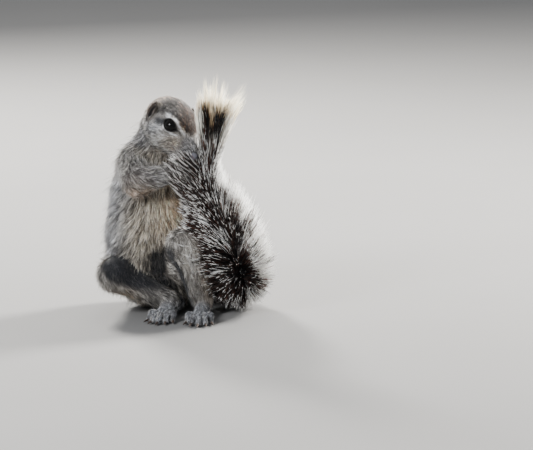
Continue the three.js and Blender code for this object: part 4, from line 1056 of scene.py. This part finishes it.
def strands(name, r, length, rise, width, k, rng, slot, uvr, stray=0.0, lock=3.0, row=2.6, pull_by=0.4, wave=0.16, contrast=0.12, tone=0.25):
    """short closed tufts from the roots r, lying along the coat, in pieces of under 200,000 triangles"""
    n = len(r["p"])
    way, nn, p = r["way"], r["n"], r["p"]
    side = np.cross(nn, way)
    way = unit(way + side * (rng.normal(0, wave, n) + 0.22 * value_noise(p, 5.5, 12))[:, None])
    length = length * rng.uniform(0.72, 1.25, n)
    rise = np.clip(rise * rng.uniform(0.6, 1.3, n), 0.05, 0.85)
    odd = rng.random(n) < stray
    rise = np.where(odd, np.minimum(rise * 1.7, 0.8), rise)
    length = np.where(odd, length * 1.25, length)
    width = width * rng.uniform(0.65, 1.2, n)
    # hairs gather in narrow locks that run along the coat and share a tone
    block = np.floor(p / 9.0 + 0.35 * np.stack([value_noise(p, 14, 21 + i) for i in range(3)], 1))
    _, bk = np.unique(block, axis=0, return_inverse=True)
    bk = bk.ravel()
    bc = np.bincount(bk)

    def mean_of(v):
        return np.stack([np.bincount(bk, v[:, i]) / bc for i in range(3)], 1)
    mp, mw, mn = mean_of(p), unit(mean_of(way)), unit(mean_of(nn))
    rel = p - mp[bk]
    across = (rel * unit(np.cross(mn, mw))[bk]).sum(1) / (0.62 * lock)
    col_ = np.floor(across)
    shift = np.modf(np.abs(np.sin(col_ * 12.9898 + bk * 78.233) * 43758.5))[0]
    row_ = np.floor((rel * mw[bk]).sum(1) / (row * lock) + shift)
    _, lk = np.unique(np.stack([bk, col_, row_], 1), axis=0, return_inverse=True)
    lk = lk.ravel()
    cnt = np.bincount(lk)
    pull = np.stack([np.bincount(lk, p[:, i]) / cnt for i in range(3)], 1)[lk] - p
    pull -= nn * (pull * nn).sum(1, keepdims=True)
    pull -= 0.8 * way * (pull * way).sum(1, keepdims=True)
    ts = np.linspace(0, 1, k) if k < 4 else np.array([0.0, 0.38, 0.74, 1.0])
    path = np.empty((n, k, 3))
    for i, t in enumerate(ts):
        up = rise * length * (1.45 * t - 0.45 * t * t)
        fw = length * t * np.sqrt(np.clip(1 - rise ** 2, 0.3, 1))
        path[:, i] = p + nn * (up - 0.3)[:, None] + way * fw[:, None] + pull * (pull_by * t * t)
    path[..., 2] = np.maximum(path[..., 2], 0.45)
    shape_ = {2: [1.0], 3: [1.0, 0.72], 4: [1.0, 0.95, 0.55]}[k]
    rad = np.stack([width * x for x in shape_], 1)
    shade = np.clip(np.exp(rng.normal(0, contrast, n) + (tone * rng.standard_normal(len(cnt)))[lk]) - 1, -0.8, 0.9)
    luck = rng.random(len(cnt))[lk]
    dark_one = (rng.random(n) < r["griz"] * 0.30) | (luck < r["griz"] * 0.8)
    pale_one = ((rng.random(n) < 0.07) | (luck > 0.88)) & ~dark_one & (r["bare_and_shade"] < 0.5)
    tip = r["tip"] * (1 + shade)[:, None]
    root = r["root"] * (1 + 0.6 * shade)[:, None]
    tip = np.where(dark_one[:, None], mix(tip, DARK, rng.uniform(0.55, 0.95, n)), tip)
    tip = np.where(pale_one[:, None], mix(tip, WHITE, rng.uniform(0.3, 0.8, n) * (1 - 0.85 * smooth(0.52, 0.66, r["griz"]))), tip)
    # dark thin hair on bare skin, which inside the thighs and in the groin is also painted shade
    thin = np.clip(r["bare_and_shade"] * 1.1, 0, 1)
    tip = mix(tip, np.where((luck > 0.88)[:, None], srgb(68, 71, 80), srgb(13, 15, 21)), thin * rng.uniform(0.8, 1.0, n))
    root = mix(root, SKIN_DARK_AND_SHADE, thin)
    if k == 2:
        tints = np.stack([root * 0.8, tip * 1.1], 1)
    elif k == 3:
        tints = np.stack([root * 0.55, tip * 0.52 + root * 0.5, tip * 1.25], 1)
    else:
        tints = np.stack([root * 0.6, root * 0.9, tip * 0.95, tip * 1.1], 1)
    per = 6 * (k - 2) + 4
    parts = int(math.ceil(n * per / 190000))
    order = rng.permutation(n)
    uvr = fit_uv(uvr)
    for c in range(parts):
        sel = order[c::parts]
        VV, FF, CC, UU = spikes(path[sel], rad[sel], 0.6, side[sel], np.clip(tints[sel], 0, 1), uvr[sel])
        make("%s_%d" % (name, c + 1), VV, FF, MATS[slot], tint=CC, uv=UU)
        TOTAL[0] += len(FF)
    print(name, n, "tufts", n * per, "triangles in", parts, round(time.time() - t_start, 1))


# the head: very short, fine and close
rng = np.random.default_rng(1)
hm = head_local(mid)
near_eye = np.minimum(*[np.linalg.norm(mid - e["c"], axis=1) for e in EYES.values()])
r = scatter(open_ * smooth(0.45, 0.6, head_here) * 8.6 * (1 + 0.9 * smooth(14, 8, near_eye) + 0.4 * smooth(20, 30, hm[:, 0])), rng)
h = head_local(r["p"])
to_eye = np.minimum(*[np.linalg.norm(r["p"] - e["c"], axis=1) for e in EYES.values()])
to_ear = np.minimum(*[np.linalg.norm(r["p"] - e["c"], axis=1) for e in EARS.values()])
L = 1.75 + 0.5 * smooth(30, 12, h[:, 0]) + 1.5 * smooth(2, -20, h[:, 0]) + 0.7 * smooth(-4, -12, h[:, 2])
L *= (0.5 + 0.5 * smooth(6.0, 10.5, to_eye)) * (0.6 + 0.4 * smooth(5.5, 9.5, to_ear))
strands("coat_head", r, L, 0.24, 0.13 + 0.022 * L, 2, rng, "coat_head", unwrap_head(r["p"]), stray=0.03, lock=1.9, row=1.5, pull_by=0.5, wave=0.12, contrast=0.30, tone=0.62)

# the neck and trunk: longer, laid down the body
rng = np.random.default_rng(2)
trunk_here = mid_w["neck"] + mid_w["trunk_lower"] + mid_w["trunk_upper"]
body_share = np.clip(1 - smooth(0.45, 0.6, head_here) - mid_w["tail"], 0, 1)
r = scatter(open_ * (trunk_here >= 0.5) * body_share * (1 - 0.5 * bq) * 2.3, rng)
L = 3.6 + 1.25 * r["depth"]
strands("coat_trunk", r, L * (1 - 0.45 * r["bare_and_shade"]), np.clip(0.85 * r["depth"] / L, 0.18, 0.55), 0.13 + 0.018 * r["depth"], 3, rng, "coat_body", unwrap_trunk(r["p"]), stray=0.05, lock=2.0, pull_by=0.95, contrast=0.30, tone=0.72)

# arms and legs
for name, chain, seed in (("coat_arms", ARM, 3), ("coat_legs", LEG, 4)):
    rng = np.random.default_rng(seed)
    mine = sum(mid_w[c[0] + s] for c in chain for s in "rl")
    other = trunk_here + mid_w["head"] + mid_w["tail"] + limb + paws - mine
    paw = sum(mid_w[chain[2][0] + s] for s in "rl")
    r = scatter(open_ * (trunk_here < 0.5) * (mine >= limb + paws - mine) * body_share * smooth(0.6, 0.4, paw) * (1 - 0.55 * bq) * 2.0, rng)
    L = 3.0 + 1.35 * r["depth"]
    strands(name, r, L * (1 - 0.5 * r["bare_and_shade"]), np.clip(0.85 * r["depth"] / L, 0.16, 0.5), 0.13 + 0.018 * r["depth"], 3, rng, "coat_limbs", unwrap_limbs(r["p"], r["w"], chain), stray=0.04, lock=1.9, pull_by=0.95, contrast=0.24, tone=0.60)
    r = scatter(open_ * (mine >= limb + paws - mine) * (trunk_here < 0.5) * smooth(0.4, 0.6, paw) * (1 - 0.5 * bq) * 6.0, rng)
    L = 2.3 + 0.8 * r["depth"]
    strands(name + "_paws", r, L, 0.24, 0.11 + 0.018 * L, 2, rng, "coat_limbs", unwrap_limbs(r["p"], r["w"], chain), stray=0.02, lock=1.5, pull_by=0.5, wave=0.10, contrast=0.14, tone=0.45)

# a few long white guard hairs stand out from the flanks and the shoulders
rng = np.random.default_rng(6)
flanks = open_ * (trunk_here >= 0.5) * (1 - head_here) * smooth(0.55, 0.9, np.abs(N[Q].mean(1)[:, 0])) * smooth(24, 40, mid[:, 2]) * (mid_w["tail"] < 0.1)
r = scatter(flanks * 0.016, rng)
r["tip"], r["root"], r["griz"] = np.tile(WHITE, (len(r["p"]), 1)), np.tile(srgb(190, 184, 174), (len(r["p"]), 1)), np.zeros(len(r["p"]))
strands("coat_guard_hairs", r, np.full(len(r["p"]), 15.0), 0.62, 0.15, 4, rng, "coat_body", unwrap_trunk(r["p"]), stray=0.0, lock=3.0, pull_by=0.0)

# ------------------------------------------------------------ the tail's hair
HAIRS = 24000
tt = np.linspace(0, 1, 400)
ct, gt, RR, SS = tail_curve(tt)
ref = np.zeros((400, 3))
ref[0] = unit(np.cross(gt[0], [0, 0, 1.0]))
for i in range(1, 400):                     # a frame carried along the tail without twisting
    ref[i] = unit(ref[i - 1] - gt[i] * float(ref[i - 1] @ gt[i]))
dens_t = (RR / 20) ** 1.2 + 0.35
dens_t[(tt > 0.72) & (tt < 0.9)] *= 1.8
dens_t[tt > 0.895] = 0
cum = np.cumsum(dens_t)
rng = np.random.default_rng(5)
t = np.interp((np.arange(HAIRS) + rng.random(HAIRS)) / HAIRS, cum / cum[-1], tt)
theta = rng.random(HAIRS) * 2 * math.pi
c0, tg, R0, S0 = tail_curve(t)
rf = unit(np.stack([np.interp(t, tt, ref[:, i]) for i in range(3)], 1))
bi = np.cross(tg, rf)
rad_dir = rf * np.cos(theta)[:, None] + bi * np.sin(theta)[:, None]
base = c0 + rad_dir * (np.maximum(S0, 1.5) * 0.85)[:, None]
lean = np.interp(t, [0, 0.15, 0.3, 0.42, 0.52, 0.60, 0.68, 0.76, 0.84, 0.9], [48, 48, 50, 47, 43, 36, 22, 17, 26, 36])
spread = np.interp(t, [0, 0.6, 0.7, 0.8, 0.9], [8, 8, 5, 9, 14])
lean = np.radians(np.clip(lean + rng.normal(0, 1, HAIRS) * spread, 4, 80))
# the tail is a flat plume: its hair parts to the two sides and lies along it in front and behind
FACE = unit(np.array([0.06, -1.0, 0.12]))
square = np.clip(1 - (tg @ FACE) ** 2, 0, 1) * smooth(0.12, 0.30, t) * smooth(0.80, 0.70, t)
fr = unit(FACE - tg * (tg @ FACE)[:, None])
la = np.cross(tg, fr)
la *= np.where(la @ np.array([1.0, 0.0, 0.3]) < 0, -1, 1)[:, None]
ca, cb = (rad_dir * la).sum(1), (rad_dir * fr).sum(1)
held = square * smooth(0.72, 0.62, t)
ca2 = ca - 0.42 * held * np.clip(cb, 0, 1) + 0.10 * held * rng.standard_normal(HAIRS)
spread_dir = la * ca2[:, None] + fr * (cb * (1 - 0.5 * square))[:, None]
d0 = unit(tg * np.cos(lean)[:, None] + spread_dir * np.sin(lean)[:, None])
# hairs gather in pointed locks
ck = np.stack([np.floor(t * 58), np.floor((theta + 0.35 * np.floor(t * 58)) / (2 * math.pi) * 20)], 1)
_, lk = np.unique(ck, axis=0, return_inverse=True)
lk = lk.ravel()
nl = np.bincount(lk)
lock_dir = unit(np.stack([np.bincount(lk, d0[:, i]) / nl for i in range(3)], 1) + 0.12 * rng.standard_normal((len(nl), 3)))
hold = (0.75 + 0.17 * smooth(0.70, 0.76, t))[:, None]
d1 = unit(d0 * (1 - hold) + lock_dir[lk] * hold + (0.05 - 0.02 * smooth(0.70, 0.76, t))[:, None] * rng.standard_normal((HAIRS, 3)))
mean_d = unit(d0 + d1 + 0.15 * tg)
# each is as long as it takes to reach the tail's outline
s_ = np.zeros(HAIRS)
for _ in range(16):
    s_ += np.clip(-fold(base + mean_d * s_[:, None], TAILS), 0, 9)
lock_len = (0.07 * rng.standard_normal(len(nl)))[lk] * (1 + 0.9 * smooth(0.70, 0.76, t))
L = np.clip(s_, 9, 42) * (0.90 + lock_len - 0.20 * rng.random(HAIRS) ** 2)
L = np.where((rng.random(HAIRS) < 0.06) & (t < 0.7), L * 1.12, L)
L = np.where(t > 0.735, L * (0.76 + 0.35 * lock_len), L)
L = np.maximum(L, 8)
luck = rng.random(len(nl))[lk]


def along(S, base, d0, d1, tg, L, bend=None):
    """points at the shares S of each hair's length"""
    S3 = S[..., None]
    P = base[:, None] + (d0[:, None] * (S3 * (1 - 0.5 * S3)) + d1[:, None] * (0.5 * S3 * S3)) * L[:, None, None]
    P = P + tg[:, None] * (0.09 * S3 * S3) * L[:, None, None]
    return P if bend is None else P + bend[:, :3][:, None] * S3 + bend[:, 3:][:, None] * (S3 * (1 - S3))


BEND = np.concatenate([0.5 * rng.standard_normal((HAIRS, 3)), 1.6 * rng.standard_normal((HAIRS, 3))], 1)


def streaks(n, rng, L, pick, share_, fringe, short):
    """rings along hairs that end white, and those dark all through: shares of the length, and colours"""
    ends_white = pick < np.maximum(share_, fringe)
    white = np.where(fringe > 0.4, rng.uniform(11.0, 18.0, n), rng.uniform(10.0, 21.0, n))
    white = np.where(~ends_white & (rng.random(n) < short), rng.uniform(1.5, 3.0, n), white)
    tipped = ends_white | (white < 3.0)
    sb = np.clip(1 - white / L, 0.24, 0.93)
    sa = np.clip(sb - 1.6 / L, 0.16, 0.9)
    S = np.stack([np.zeros(n), np.where(tipped, sa, 0.36), np.where(tipped, sb, 0.72), np.ones(n)], 1)
    col = np.empty((n, 4, 3))
    col[:, 0] = srgb(66, 48, 38)
    warm = (rng.random(n) < 0.25 + 0.45 * fringe)
    col[:, 1] = np.where(warm[:, None], srgb(96, 52, 32), srgb(26, 20, 18))
    col[:, 2] = np.where(tipped[:, None], srgb(252, 250, 245), np.where(warm[:, None], srgb(62, 38, 28), srgb(30, 24, 22)))
    col[:, 3] = np.where(tipped[:, None], srgb(255, 254, 250), srgb(50, 40, 36))
    return S, col, tipped


# the outer side of the curve is fringed with white, and the inner and lower side is dark: the white fringe is real,
# but white ends gather on the side the lights fall on and thin out on the left half as painted shade
outward = unit(along(np.ones((HAIRS, 1)), base, d0, d1, tg, L)[:, 0] - base)
aside = ((base + outward * L[:, None] - c0) * la).sum(1) / R0
fringe = 0.88 * smooth(0.28, 0.62, aside) * smooth(0.15, 0.3, t)
fringe = np.maximum(fringe, smooth(0.05, 0.5, outward @ unit([0.92, 0.38, -0.05])) * 0.85)
fringe = np.maximum(fringe, 0.6 * smooth(0.2, 0.8, outward[:, 1])) * (0.45 + 0.55 * smooth(0.06, 0.22, t))
low_right = smooth(0.15, 0.50, outward @ unit([0.85, 0.0, -0.50])) * smooth(0.40, 0.30, t)
fringe = np.maximum(fringe, 0.85 * low_right)
share_w = np.interp(t, [0, 0.2, 0.3, 0.45, 0.58, 0.66, 0.76], [0.22, 0.18, 0.21, 0.20, 0.09, 0.28, 0.44])
# painted shade: fewer white ends on the tail's left half
share_w = share_w * (1 - 0.45 * smooth(-0.1, -0.6, aside) * smooth(0.2, 0.35, t))
pick = np.where(rng.random(HAIRS) < 0.6, luck, rng.random(HAIRS))
S, col, tipped = streaks(HAIRS, rng, L, pick, share_w, fringe * (t < 0.66), 0.16)
path = along(S, base, d0, d1, tg, L, BEND)
# the brush at the end: dark hearts, a tan band, then white ends and white sides
p0, p1 = np.array(TAIL[-3][0], float), np.array(TAIL[-1][0], float)
axis = unit(p1 - p0)
brush = t + 0.012 * (luck - 0.5) > 0.735
top = base + d1 * L[:, None]
ub = (base - p0) @ axis
du = np.maximum((top - base) @ axis, 6)
lateral = (rad_dir - axis * (rad_dir @ axis)[:, None])[:, 0]
edge_hair = smooth(0.40, 0.85, np.where(lateral > 0, lateral, -lateral - 0.22)) * 0.8
u0 = 14.5 + 6.5 * (luck - 0.5) - 7.0 * edge_hair
sa = np.clip((u0 - 4.0 - ub) / du, 0.06, 0.70)
st = np.clip((u0 - 1.5 - ub) / du, sa + 0.05, 0.82)
sb = np.clip((u0 + 1.0 - ub) / du, st + 0.04, 0.92)
S5 = np.stack([np.zeros(HAIRS), sa, st, sb, np.ones(HAIRS)], 1)
col5 = np.empty((HAIRS, 5, 3))
reaches = (u0 - 1.0 - ub) / du                          # past 1: the hair ends within the dark hearts
stays = (reaches > 0.86)[:, None]
white_side = (rng.random(HAIRS) < edge_hair)[:, None]
cream = ((luck > 0.82) & (rng.random(HAIRS) < 0.8))[:, None]
col5[:, 0] = np.where(white_side, srgb(190, 182, 172), srgb(40, 28, 22))
col5[:, 1] = np.where(white_side, srgb(250, 248, 240), np.where(cream, srgb(206, 178, 142), srgb(17, 12, 11)))
col5[:, 2] = np.where(white_side, srgb(254, 252, 246), np.where(cream, srgb(226, 204, 172), srgb(168, 126, 92)))
col5[:, 3] = np.where((white_side | cream), srgb(255, 251, 240), srgb(244, 228, 202))
col5[:, 4] = srgb(255, 251, 232)
inner = stays & ~white_side & ~cream
col5[:, 2:4] = np.where(inner[:, None], srgb(17, 12, 11), col5[:, 2:4])
col5[:, 4] = np.where(inner, np.where((reaches < 1.08)[:, None], srgb(120, 84, 58), srgb(24, 17, 15)), col5[:, 4])
path5 = along(S5, base, d0, d1, tg, L, BEND)
# the brush's hairs draw together to points, lock by lock
fine = np.stack([np.floor(t * 112), np.floor((theta + 0.35 * np.floor(t * 112)) / (2 * math.pi) * 34)], 1)
_, lf = np.unique(fine, axis=0, return_inverse=True)
lf = lf.ravel()
nf = lf.max() + 1
nb = np.maximum(np.bincount(lf[brush], minlength=nf), 1)
meet = np.stack([np.bincount(lf[brush], path5[brush, -1, i], minlength=nf) / nb for i in range(3)], 1)[lf] - path5[:, -1]
meet -= d1 * (meet * d1).sum(1, keepdims=True)
path5 = path5 + meet[:, None] * (0.52 * S5 ** 2)[..., None]
path5 = path5 + np.array([3.6, 0, -0.8]) * (smooth(0.15, 0.85, lateral)[:, None] * S5 ** 1.5)[..., None]
by_lock = np.random.default_rng(55)
lock_tone = np.clip(0.96 + 0.20 * by_lock.standard_normal(nf), 0.5, 1.04)[lf][:, None]
creamy = (by_lock.random(nf) < 0.65)[lf][:, None] & ~inner
col5[:, 3] = np.where(creamy, srgb(240, 218, 182), col5[:, 3]) * np.where(inner, 1.0, lock_tone)
col5[:, 4] = np.where(creamy, srgb(254, 241, 208), col5[:, 4]) * np.where(inner, 1.0, 0.25 + 0.75 * lock_tone)
# hairs of the held part that reach into the brush end dark
reach = (t > 0.665) & ~brush
tipu = (path[:, -1] - p0) @ axis
tipx = (path[:, -1] - p0 - axis * tipu[:, None])[:, 0]
into = reach & (tipu > 6) & (edge_hair < 0.3) & (rng.random(HAIRS) < 0.9) & (np.abs(tipx) < 8.5)
outer = reach & (tipu > 2) & ((tipx >= 8.5) | (tipx < -11))
pale = into & (luck < 0.5)
col[into, 2:] = srgb(20, 15, 14)
col[outer, 1:] = srgb(244, 240, 230)
col[pale, 1] = srgb(214, 210, 202)
S_in = np.array([0.0, 0.42, 0.62, 1.0])
path[into] = along(np.tile(S_in, (into.sum(), 1)), base[into], d0[into], d1[into], tg[into], L[into], BEND[into])
tone_ = (1 + rng.normal(0, 0.08, HAIRS))[:, None, None]
col, col5 = np.clip(col * tone_, 0, 1), np.clip(col5 * tone_, 0, 1)


def settle(P, low):
    """keeps hairs off the floor and out of the body"""
    P = P.copy()
    P[..., 2] = np.where(P[..., 2] < low, low + 0.03 * (P[..., 2] - low), P[..., 2])
    P = push_out(P, -0.4)
    P[..., 2] = np.maximum(P[..., 2], 0.5)
    return P


low = (0.6 + 1.6 * rng.random(HAIRS))[:, None]
path = settle(path[~brush], low[~brush])
path5 = settle(path5[brush], low[brush])
col, col5 = col[~brush], col5[brush]
wide = np.where(tipped[~brush], rng.uniform(0.22, 0.36, (~brush).sum()), rng.uniform(0.22, 0.34, (~brush).sum()))
wide5 = rng.uniform(0.2, 0.31, brush.sum())
rad = np.stack([wide * 0.9, wide, wide * 0.78], 1)
rad5 = np.stack([wide5 * 0.9, wide5, wide5 * 0.95, wide5 * 0.8], 1)
uvt = fit_uv(np.stack([theta / (2 * math.pi), t], 1))

# long hairs of the held part, swept back over the forearm
M = 1100
ts2 = rng.uniform(0.50, 0.665, M)
cs, gs, _, ss_ = tail_curve(ts2)
ang = rng.uniform(-0.9, 0.7, M)
lat = unit(np.stack([-np.cos(ang), -0.55 + 0.25 * rng.standard_normal(M), 0.3 * np.sin(ang)], 1))
lat = unit(lat - gs * (lat * gs).sum(1, keepdims=True))
bs = cs + lat * (ss_ * 0.85)[:, None]
dirn = unit(np.array([-0.66, -0.30, 0.62]) + 0.08 * rng.standard_normal((M, 3)))
LS = rng.uniform(26, 44, M) * np.interp(ts2, [0.5, 0.56, 0.665], [0.9, 1.0, 0.72])
Ss, cols, _ = streaks(M, rng, LS, rng.random(M), np.full(M, 0.12), np.zeros(M), 0.1)
all_pale = rng.random(M) < 0.13
cols[all_pale] = np.stack([srgb(120, 112, 106), srgb(206, 203, 198), srgb(232, 230, 226), srgb(246, 245, 242)])
S3 = Ss[..., None]
ps = bs[:, None] + (unit(lat * 0.8 + gs * 0.6)[:, None] * (S3 * (1 - S3) * 0.9) + dirn[:, None] * (S3 * (0.1 + 0.9 * S3))) * LS[:, None, None]
ps = ps + 0.8 * rng.standard_normal((M, 1, 3)) * S3 + 1.8 * rng.standard_normal((M, 1, 3)) * S3 * (1 - S3)
ps = push_out(ps, 0.5)
ws = rng.uniform(0.16, 0.24, M)
thetas = np.mod(np.arctan2((lat * bi[:1]).sum(1), (lat * rf[:1]).sum(1)), 2 * math.pi)
uvs = np.stack([np.clip(thetas / (2 * math.pi), 0.01, 0.99), ts2 / 0.9], 1)
uvt5 = uvt[brush]
path, rad, col = np.concatenate([path, ps]), np.concatenate([rad, np.stack([ws * 0.9, ws, ws * 0.75], 1)]), np.concatenate([col, cols])
across = np.concatenate([bi[~brush], np.cross(dirn, [0, 1.0, 0])])
uvt = np.concatenate([uvt[~brush], uvs])
for name, P_, R_, C_, A_, U_, per in (("coat_tail", path, rad, col, across, uvt, 16), ("coat_tail_brush", path5, rad5, col5, bi[brush], uvt5, 22)):
    n_all = len(P_)
    parts = int(math.ceil(n_all * per / 190000))
    order = rng.permutation(n_all)
    for c in range(parts):
        sel = order[c::parts]
        VV, FF, CC, UU = spikes(P_[sel], R_[sel], 0.8, A_[sel], C_[sel], U_[sel])
        make("%s_%d" % (name, c + 1), VV, FF, MATS["coat_tail"], tint=CC, uv=UU)
        TOTAL[0] += len(FF)
    print(name, n_all, n_all * per, "coat in all", TOTAL[0], "skin", len(Q) * 2, round(time.time() - t_start, 1))

# ------------------------------------------------------------------ eyes
m_eye = material("eye_wet", rough=0.16, spec=0.10, coat=0.14, bump=0.0, vary=0.25, vary_scale=260, colour=[(0.35, srgb(3, 3, 3)), (0.75, srgb(9, 7, 6))])
for side, e in EYES.items():
    nu, nvv = 48, 28
    th = np.linspace(0, math.pi, nvv)
    ph = np.linspace(0, 2 * math.pi, nu, endpoint=False)
    P = [e["c"] + e["out"] * EYE["radius"]]
    for a in th[1:-1]:
        # the cornea stands a little proud of the ball
        r = EYE["radius"] * (1 + 0.035 * math.exp(-(a / 0.55) ** 2))
        P += [e["c"] + r * (e["out"] * math.cos(a) + (e["fwd"] * math.cos(b) + e["up"] * math.sin(b)) * math.sin(a)) for b in ph]
    P[0] = e["c"] + e["out"] * EYE["radius"] * 1.035
    P.append(e["c"] - e["out"] * EYE["radius"])
    P = np.array(P)
    last = len(P) - 1
    tri, quad = [], []
    for j in range(nu):
        tri.append([0, 1 + j, 1 + (j + 1) % nu])
        b0 = 1 + (nvv - 3) * nu
        tri.append([last, b0 + (j + 1) % nu, b0 + j])
        for i in range(nvv - 3):
            a0 = 1 + i * nu
            quad.append([a0 + j, a0 + nu + j, a0 + nu + (j + 1) % nu, a0 + (j + 1) % nu])
    tri, quad = np.array(tri), np.array(quad)
    pa, pb, pc = P[tri[0][0]], P[tri[0][1]], P[tri[0][2]]
    if np.dot(np.cross(pb - pa, pc - pa), e["out"]) < 0:
        tri, quad = tri[:, ::-1], quad[:, ::-1]
    o = make("eyeball_" + side, P, [tri, quad], m_eye)
    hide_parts("eye_" + side)

# ------------------------------------------------------------------ claws and whiskers
m_claw = material("claw_horn", rough=0.42, spec=0.5, bump=0.2, bump_scale=700, vary=0.2, vary_scale=300, colour=[(0.3, srgb(38, 30, 27)), (0.75, srgb(92, 78, 68))])


def horn(paths, radii, sides=8):
    """closed tapering round horns along paths"""
    VV, FF, n0 = [], [], 0
    for P, r in zip(paths, radii):
        P = np.asarray(P)
        tan = unit(np.gradient(P, axis=0))
        s = unit(np.cross(tan, [0.13, 0.2, 1.0]))
        b = np.cross(tan, s)
        kk = len(P)
        for i in range(kk - 1):
            for j in range(sides):
                a = 2 * math.pi * j / sides
                VV.append(P[i] + (s[i] * math.cos(a) + b[i] * math.sin(a)) * r[i])
        VV.append(P[-1])
        VV.append(P[0])
        tip, rt = n0 + (kk - 1) * sides, n0 + (kk - 1) * sides + 1
        for i in range(kk - 2):
            for j in range(sides):
                a, c = n0 + i * sides + j, n0 + i * sides + (j + 1) % sides
                FF += [[a, c, c + sides], [a, c + sides, a + sides]]
        for j in range(sides):
            a, c = n0 + (kk - 2) * sides + j, n0 + (kk - 2) * sides + (j + 1) % sides
            FF += [[a, c, tip]]
            a, c = n0 + j, n0 + (j + 1) % sides
            FF += [[c, a, rt]]
        n0 += (kk - 1) * sides + 2
    return np.array(VV), np.array(FF)


paths, radii = [], []
for part, (digs, o) in DIGITS.items():
    on_foot = part.startswith("foot")
    for a, m, tp, dd in digs:
        d = unit(tp - m)
        start = tp + d * 0.1
        end = tp + dd * (o["tip"] * 0.6 + CLAW["length"]) + np.array([0, 0, -CLAW["drop"] * 0.6 if on_foot else 0])
        middle = (start + end) / 2 + np.array([0, 0, 0.7 if on_foot else 0.3])
        ss = np.linspace(0, 1, 8)[:, None]
        P = start * (1 - ss) ** 2 + 2 * middle * ss * (1 - ss) + end * ss ** 2
        P[:, 2] = np.maximum(P[:, 2], 0.55 if on_foot else -99)
        paths.append(P)
        radii.append(CLAW["radius"] * np.array([0.95, 1.0, 0.92, 0.8, 0.64, 0.46, 0.26]) * (1.0 if on_foot else 0.8))
VV, FF = horn(paths, radii)
make("claws", VV, FF, m_claw)

m_wh = material("whisker", rough=0.4, spec=0.5, bump=0.0, vary=0.1, colour=[(0.3, srgb(150, 140, 130)), (0.7, srgb(230, 224, 214))])
paths, radii = [], []
rng = np.random.default_rng(7)
for s in (-1, 1):
    for row in range(3):
        for col_ in range(3):
            st = head_point([28.5 - 2.3 * col_, s * (5.0 + 0.9 * col_), -6.4 - 1.7 * row])
            L = 10 + 3.4 * col_ + rng.uniform(-2, 2)
            out = HEAD_R @ unit([-0.25 - 0.2 * col_, s * 1.0, 0.05 - 0.32 * row])
            back = HEAD_R @ unit([-1.0, s * 0.35, -0.5])
            ss = np.linspace(0, 1, 7)[:, None]
            P = st + out * L * ss + back * (0.42 * L * ss ** 2)
            paths.append(P)
            radii.append(np.array([0.11, 0.10, 0.09, 0.08, 0.06, 0.04]))
VV, FF = horn(paths, radii, 4)
make("whiskers", push_out(VV.copy(), -2.5), FF, m_wh)

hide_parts(*[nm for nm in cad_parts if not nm.startswith("eye_")])

# ------------------------------------------------------------------ floor, camera, light
m_floor = bpy.data.materials.new("floor_pale")
m_floor.use_nodes = True
nt = m_floor.node_tree
b = nt.nodes["Principled BSDF"]
b.inputs["Roughness"].default_value = 0.85
nz = nt.nodes.new("ShaderNodeTexNoise")
nz.inputs["Scale"].default_value = 40
rp = nt.nodes.new("ShaderNodeValToRGB")
rp.color_ramp.elements[0].color = (0.170, 0.168, 0.165, 1)
rp.color_ramp.elements[1].color = (0.190, 0.188, 0.185, 1)
nt.links.new(nz.outputs["Fac"], rp.inputs["Fac"])
nt.links.new(rp.outputs["Color"], b.inputs["Base Color"])
me = bpy.data.meshes.new("floor")
me.from_pydata([(-4, -4, 0), (4, -4, 0), (4, 4, 0), (-4, 4, 0)], [], [(0, 1, 2, 3)])
me.materials.append(m_floor)
floor = bpy.data.objects.new("floor", me)
bpy.context.scene.collection.objects.link(floor)

# the view: 10 degrees down, with the photo's framing
WIDTH, HEIGHT = 533, 450
ORIGIN_AT = (158.75, 306.4)          # where the model's origin falls in the picture
MM = 0.75                            # millimetres to a pixel
ELEVATION, DISTANCE = math.radians(10.0), 3.0
fwd = Vector((0, math.cos(ELEVATION), -math.sin(ELEVATION)))
up = Vector((0, math.sin(ELEVATION), math.cos(ELEVATION)))
target = Vector((1, 0, 0)) * ((WIDTH / 2 - ORIGIN_AT[0]) * MM / 1000) + up * ((ORIGIN_AT[1] - HEIGHT / 2) * MM / 1000)
cam = bpy.data.cameras.new("camera")
cam_o = bpy.data.objects.new("camera", cam)
bpy.context.scene.collection.objects.link(cam_o)
cam_o.location = target - fwd * DISTANCE
cam_o.rotation_mode = "QUATERNION"
cam_o.rotation_quaternion = fwd.to_track_quat("-Z", "Y")
cam.sensor_width = 36
cam.lens = 36 * DISTANCE / (WIDTH * MM / 1000)
bpy.context.scene.camera = cam_o


def area_light(name, loc, size, energy, colour=(1, 1, 1)):
    l = bpy.data.lights.new(name, "AREA")
    l.size = size
    l.energy = energy
    l.color = colour
    o = bpy.data.objects.new(name, l)
    bpy.context.scene.collection.objects.link(o)
    o.location = loc
    o.rotation_mode = "QUATERNION"
    o.rotation_quaternion = (Vector((0.02, -0.02, 0.09)) - Vector(loc)).to_track_quat("-Z", "Y")


area_light("key", (-0.95, -1.35, 0.92), 0.40, 41, (0.97, 0.985, 1.0))
area_light("rim_left", (-0.42, 1.15, 0.78), 0.30, 62, (1.0, 0.97, 0.92))
area_light("rim_right", (0.95, 0.55, 0.85), 0.30, 78, (1.0, 0.975, 0.93))
area_light("top", (0.1, 0.45, 1.4), 0.5, 9, (1.0, 0.98, 0.95))
world = bpy.data.worlds.new("world")
bpy.context.scene.world = world
world.use_nodes = True
bg = world.node_tree.nodes["Background"]
bg.inputs[0].default_value = (0.93, 0.96, 1.0, 1)
bg.inputs[1].default_value = 0.52

print("all", round(time.time() - t_start, 1))
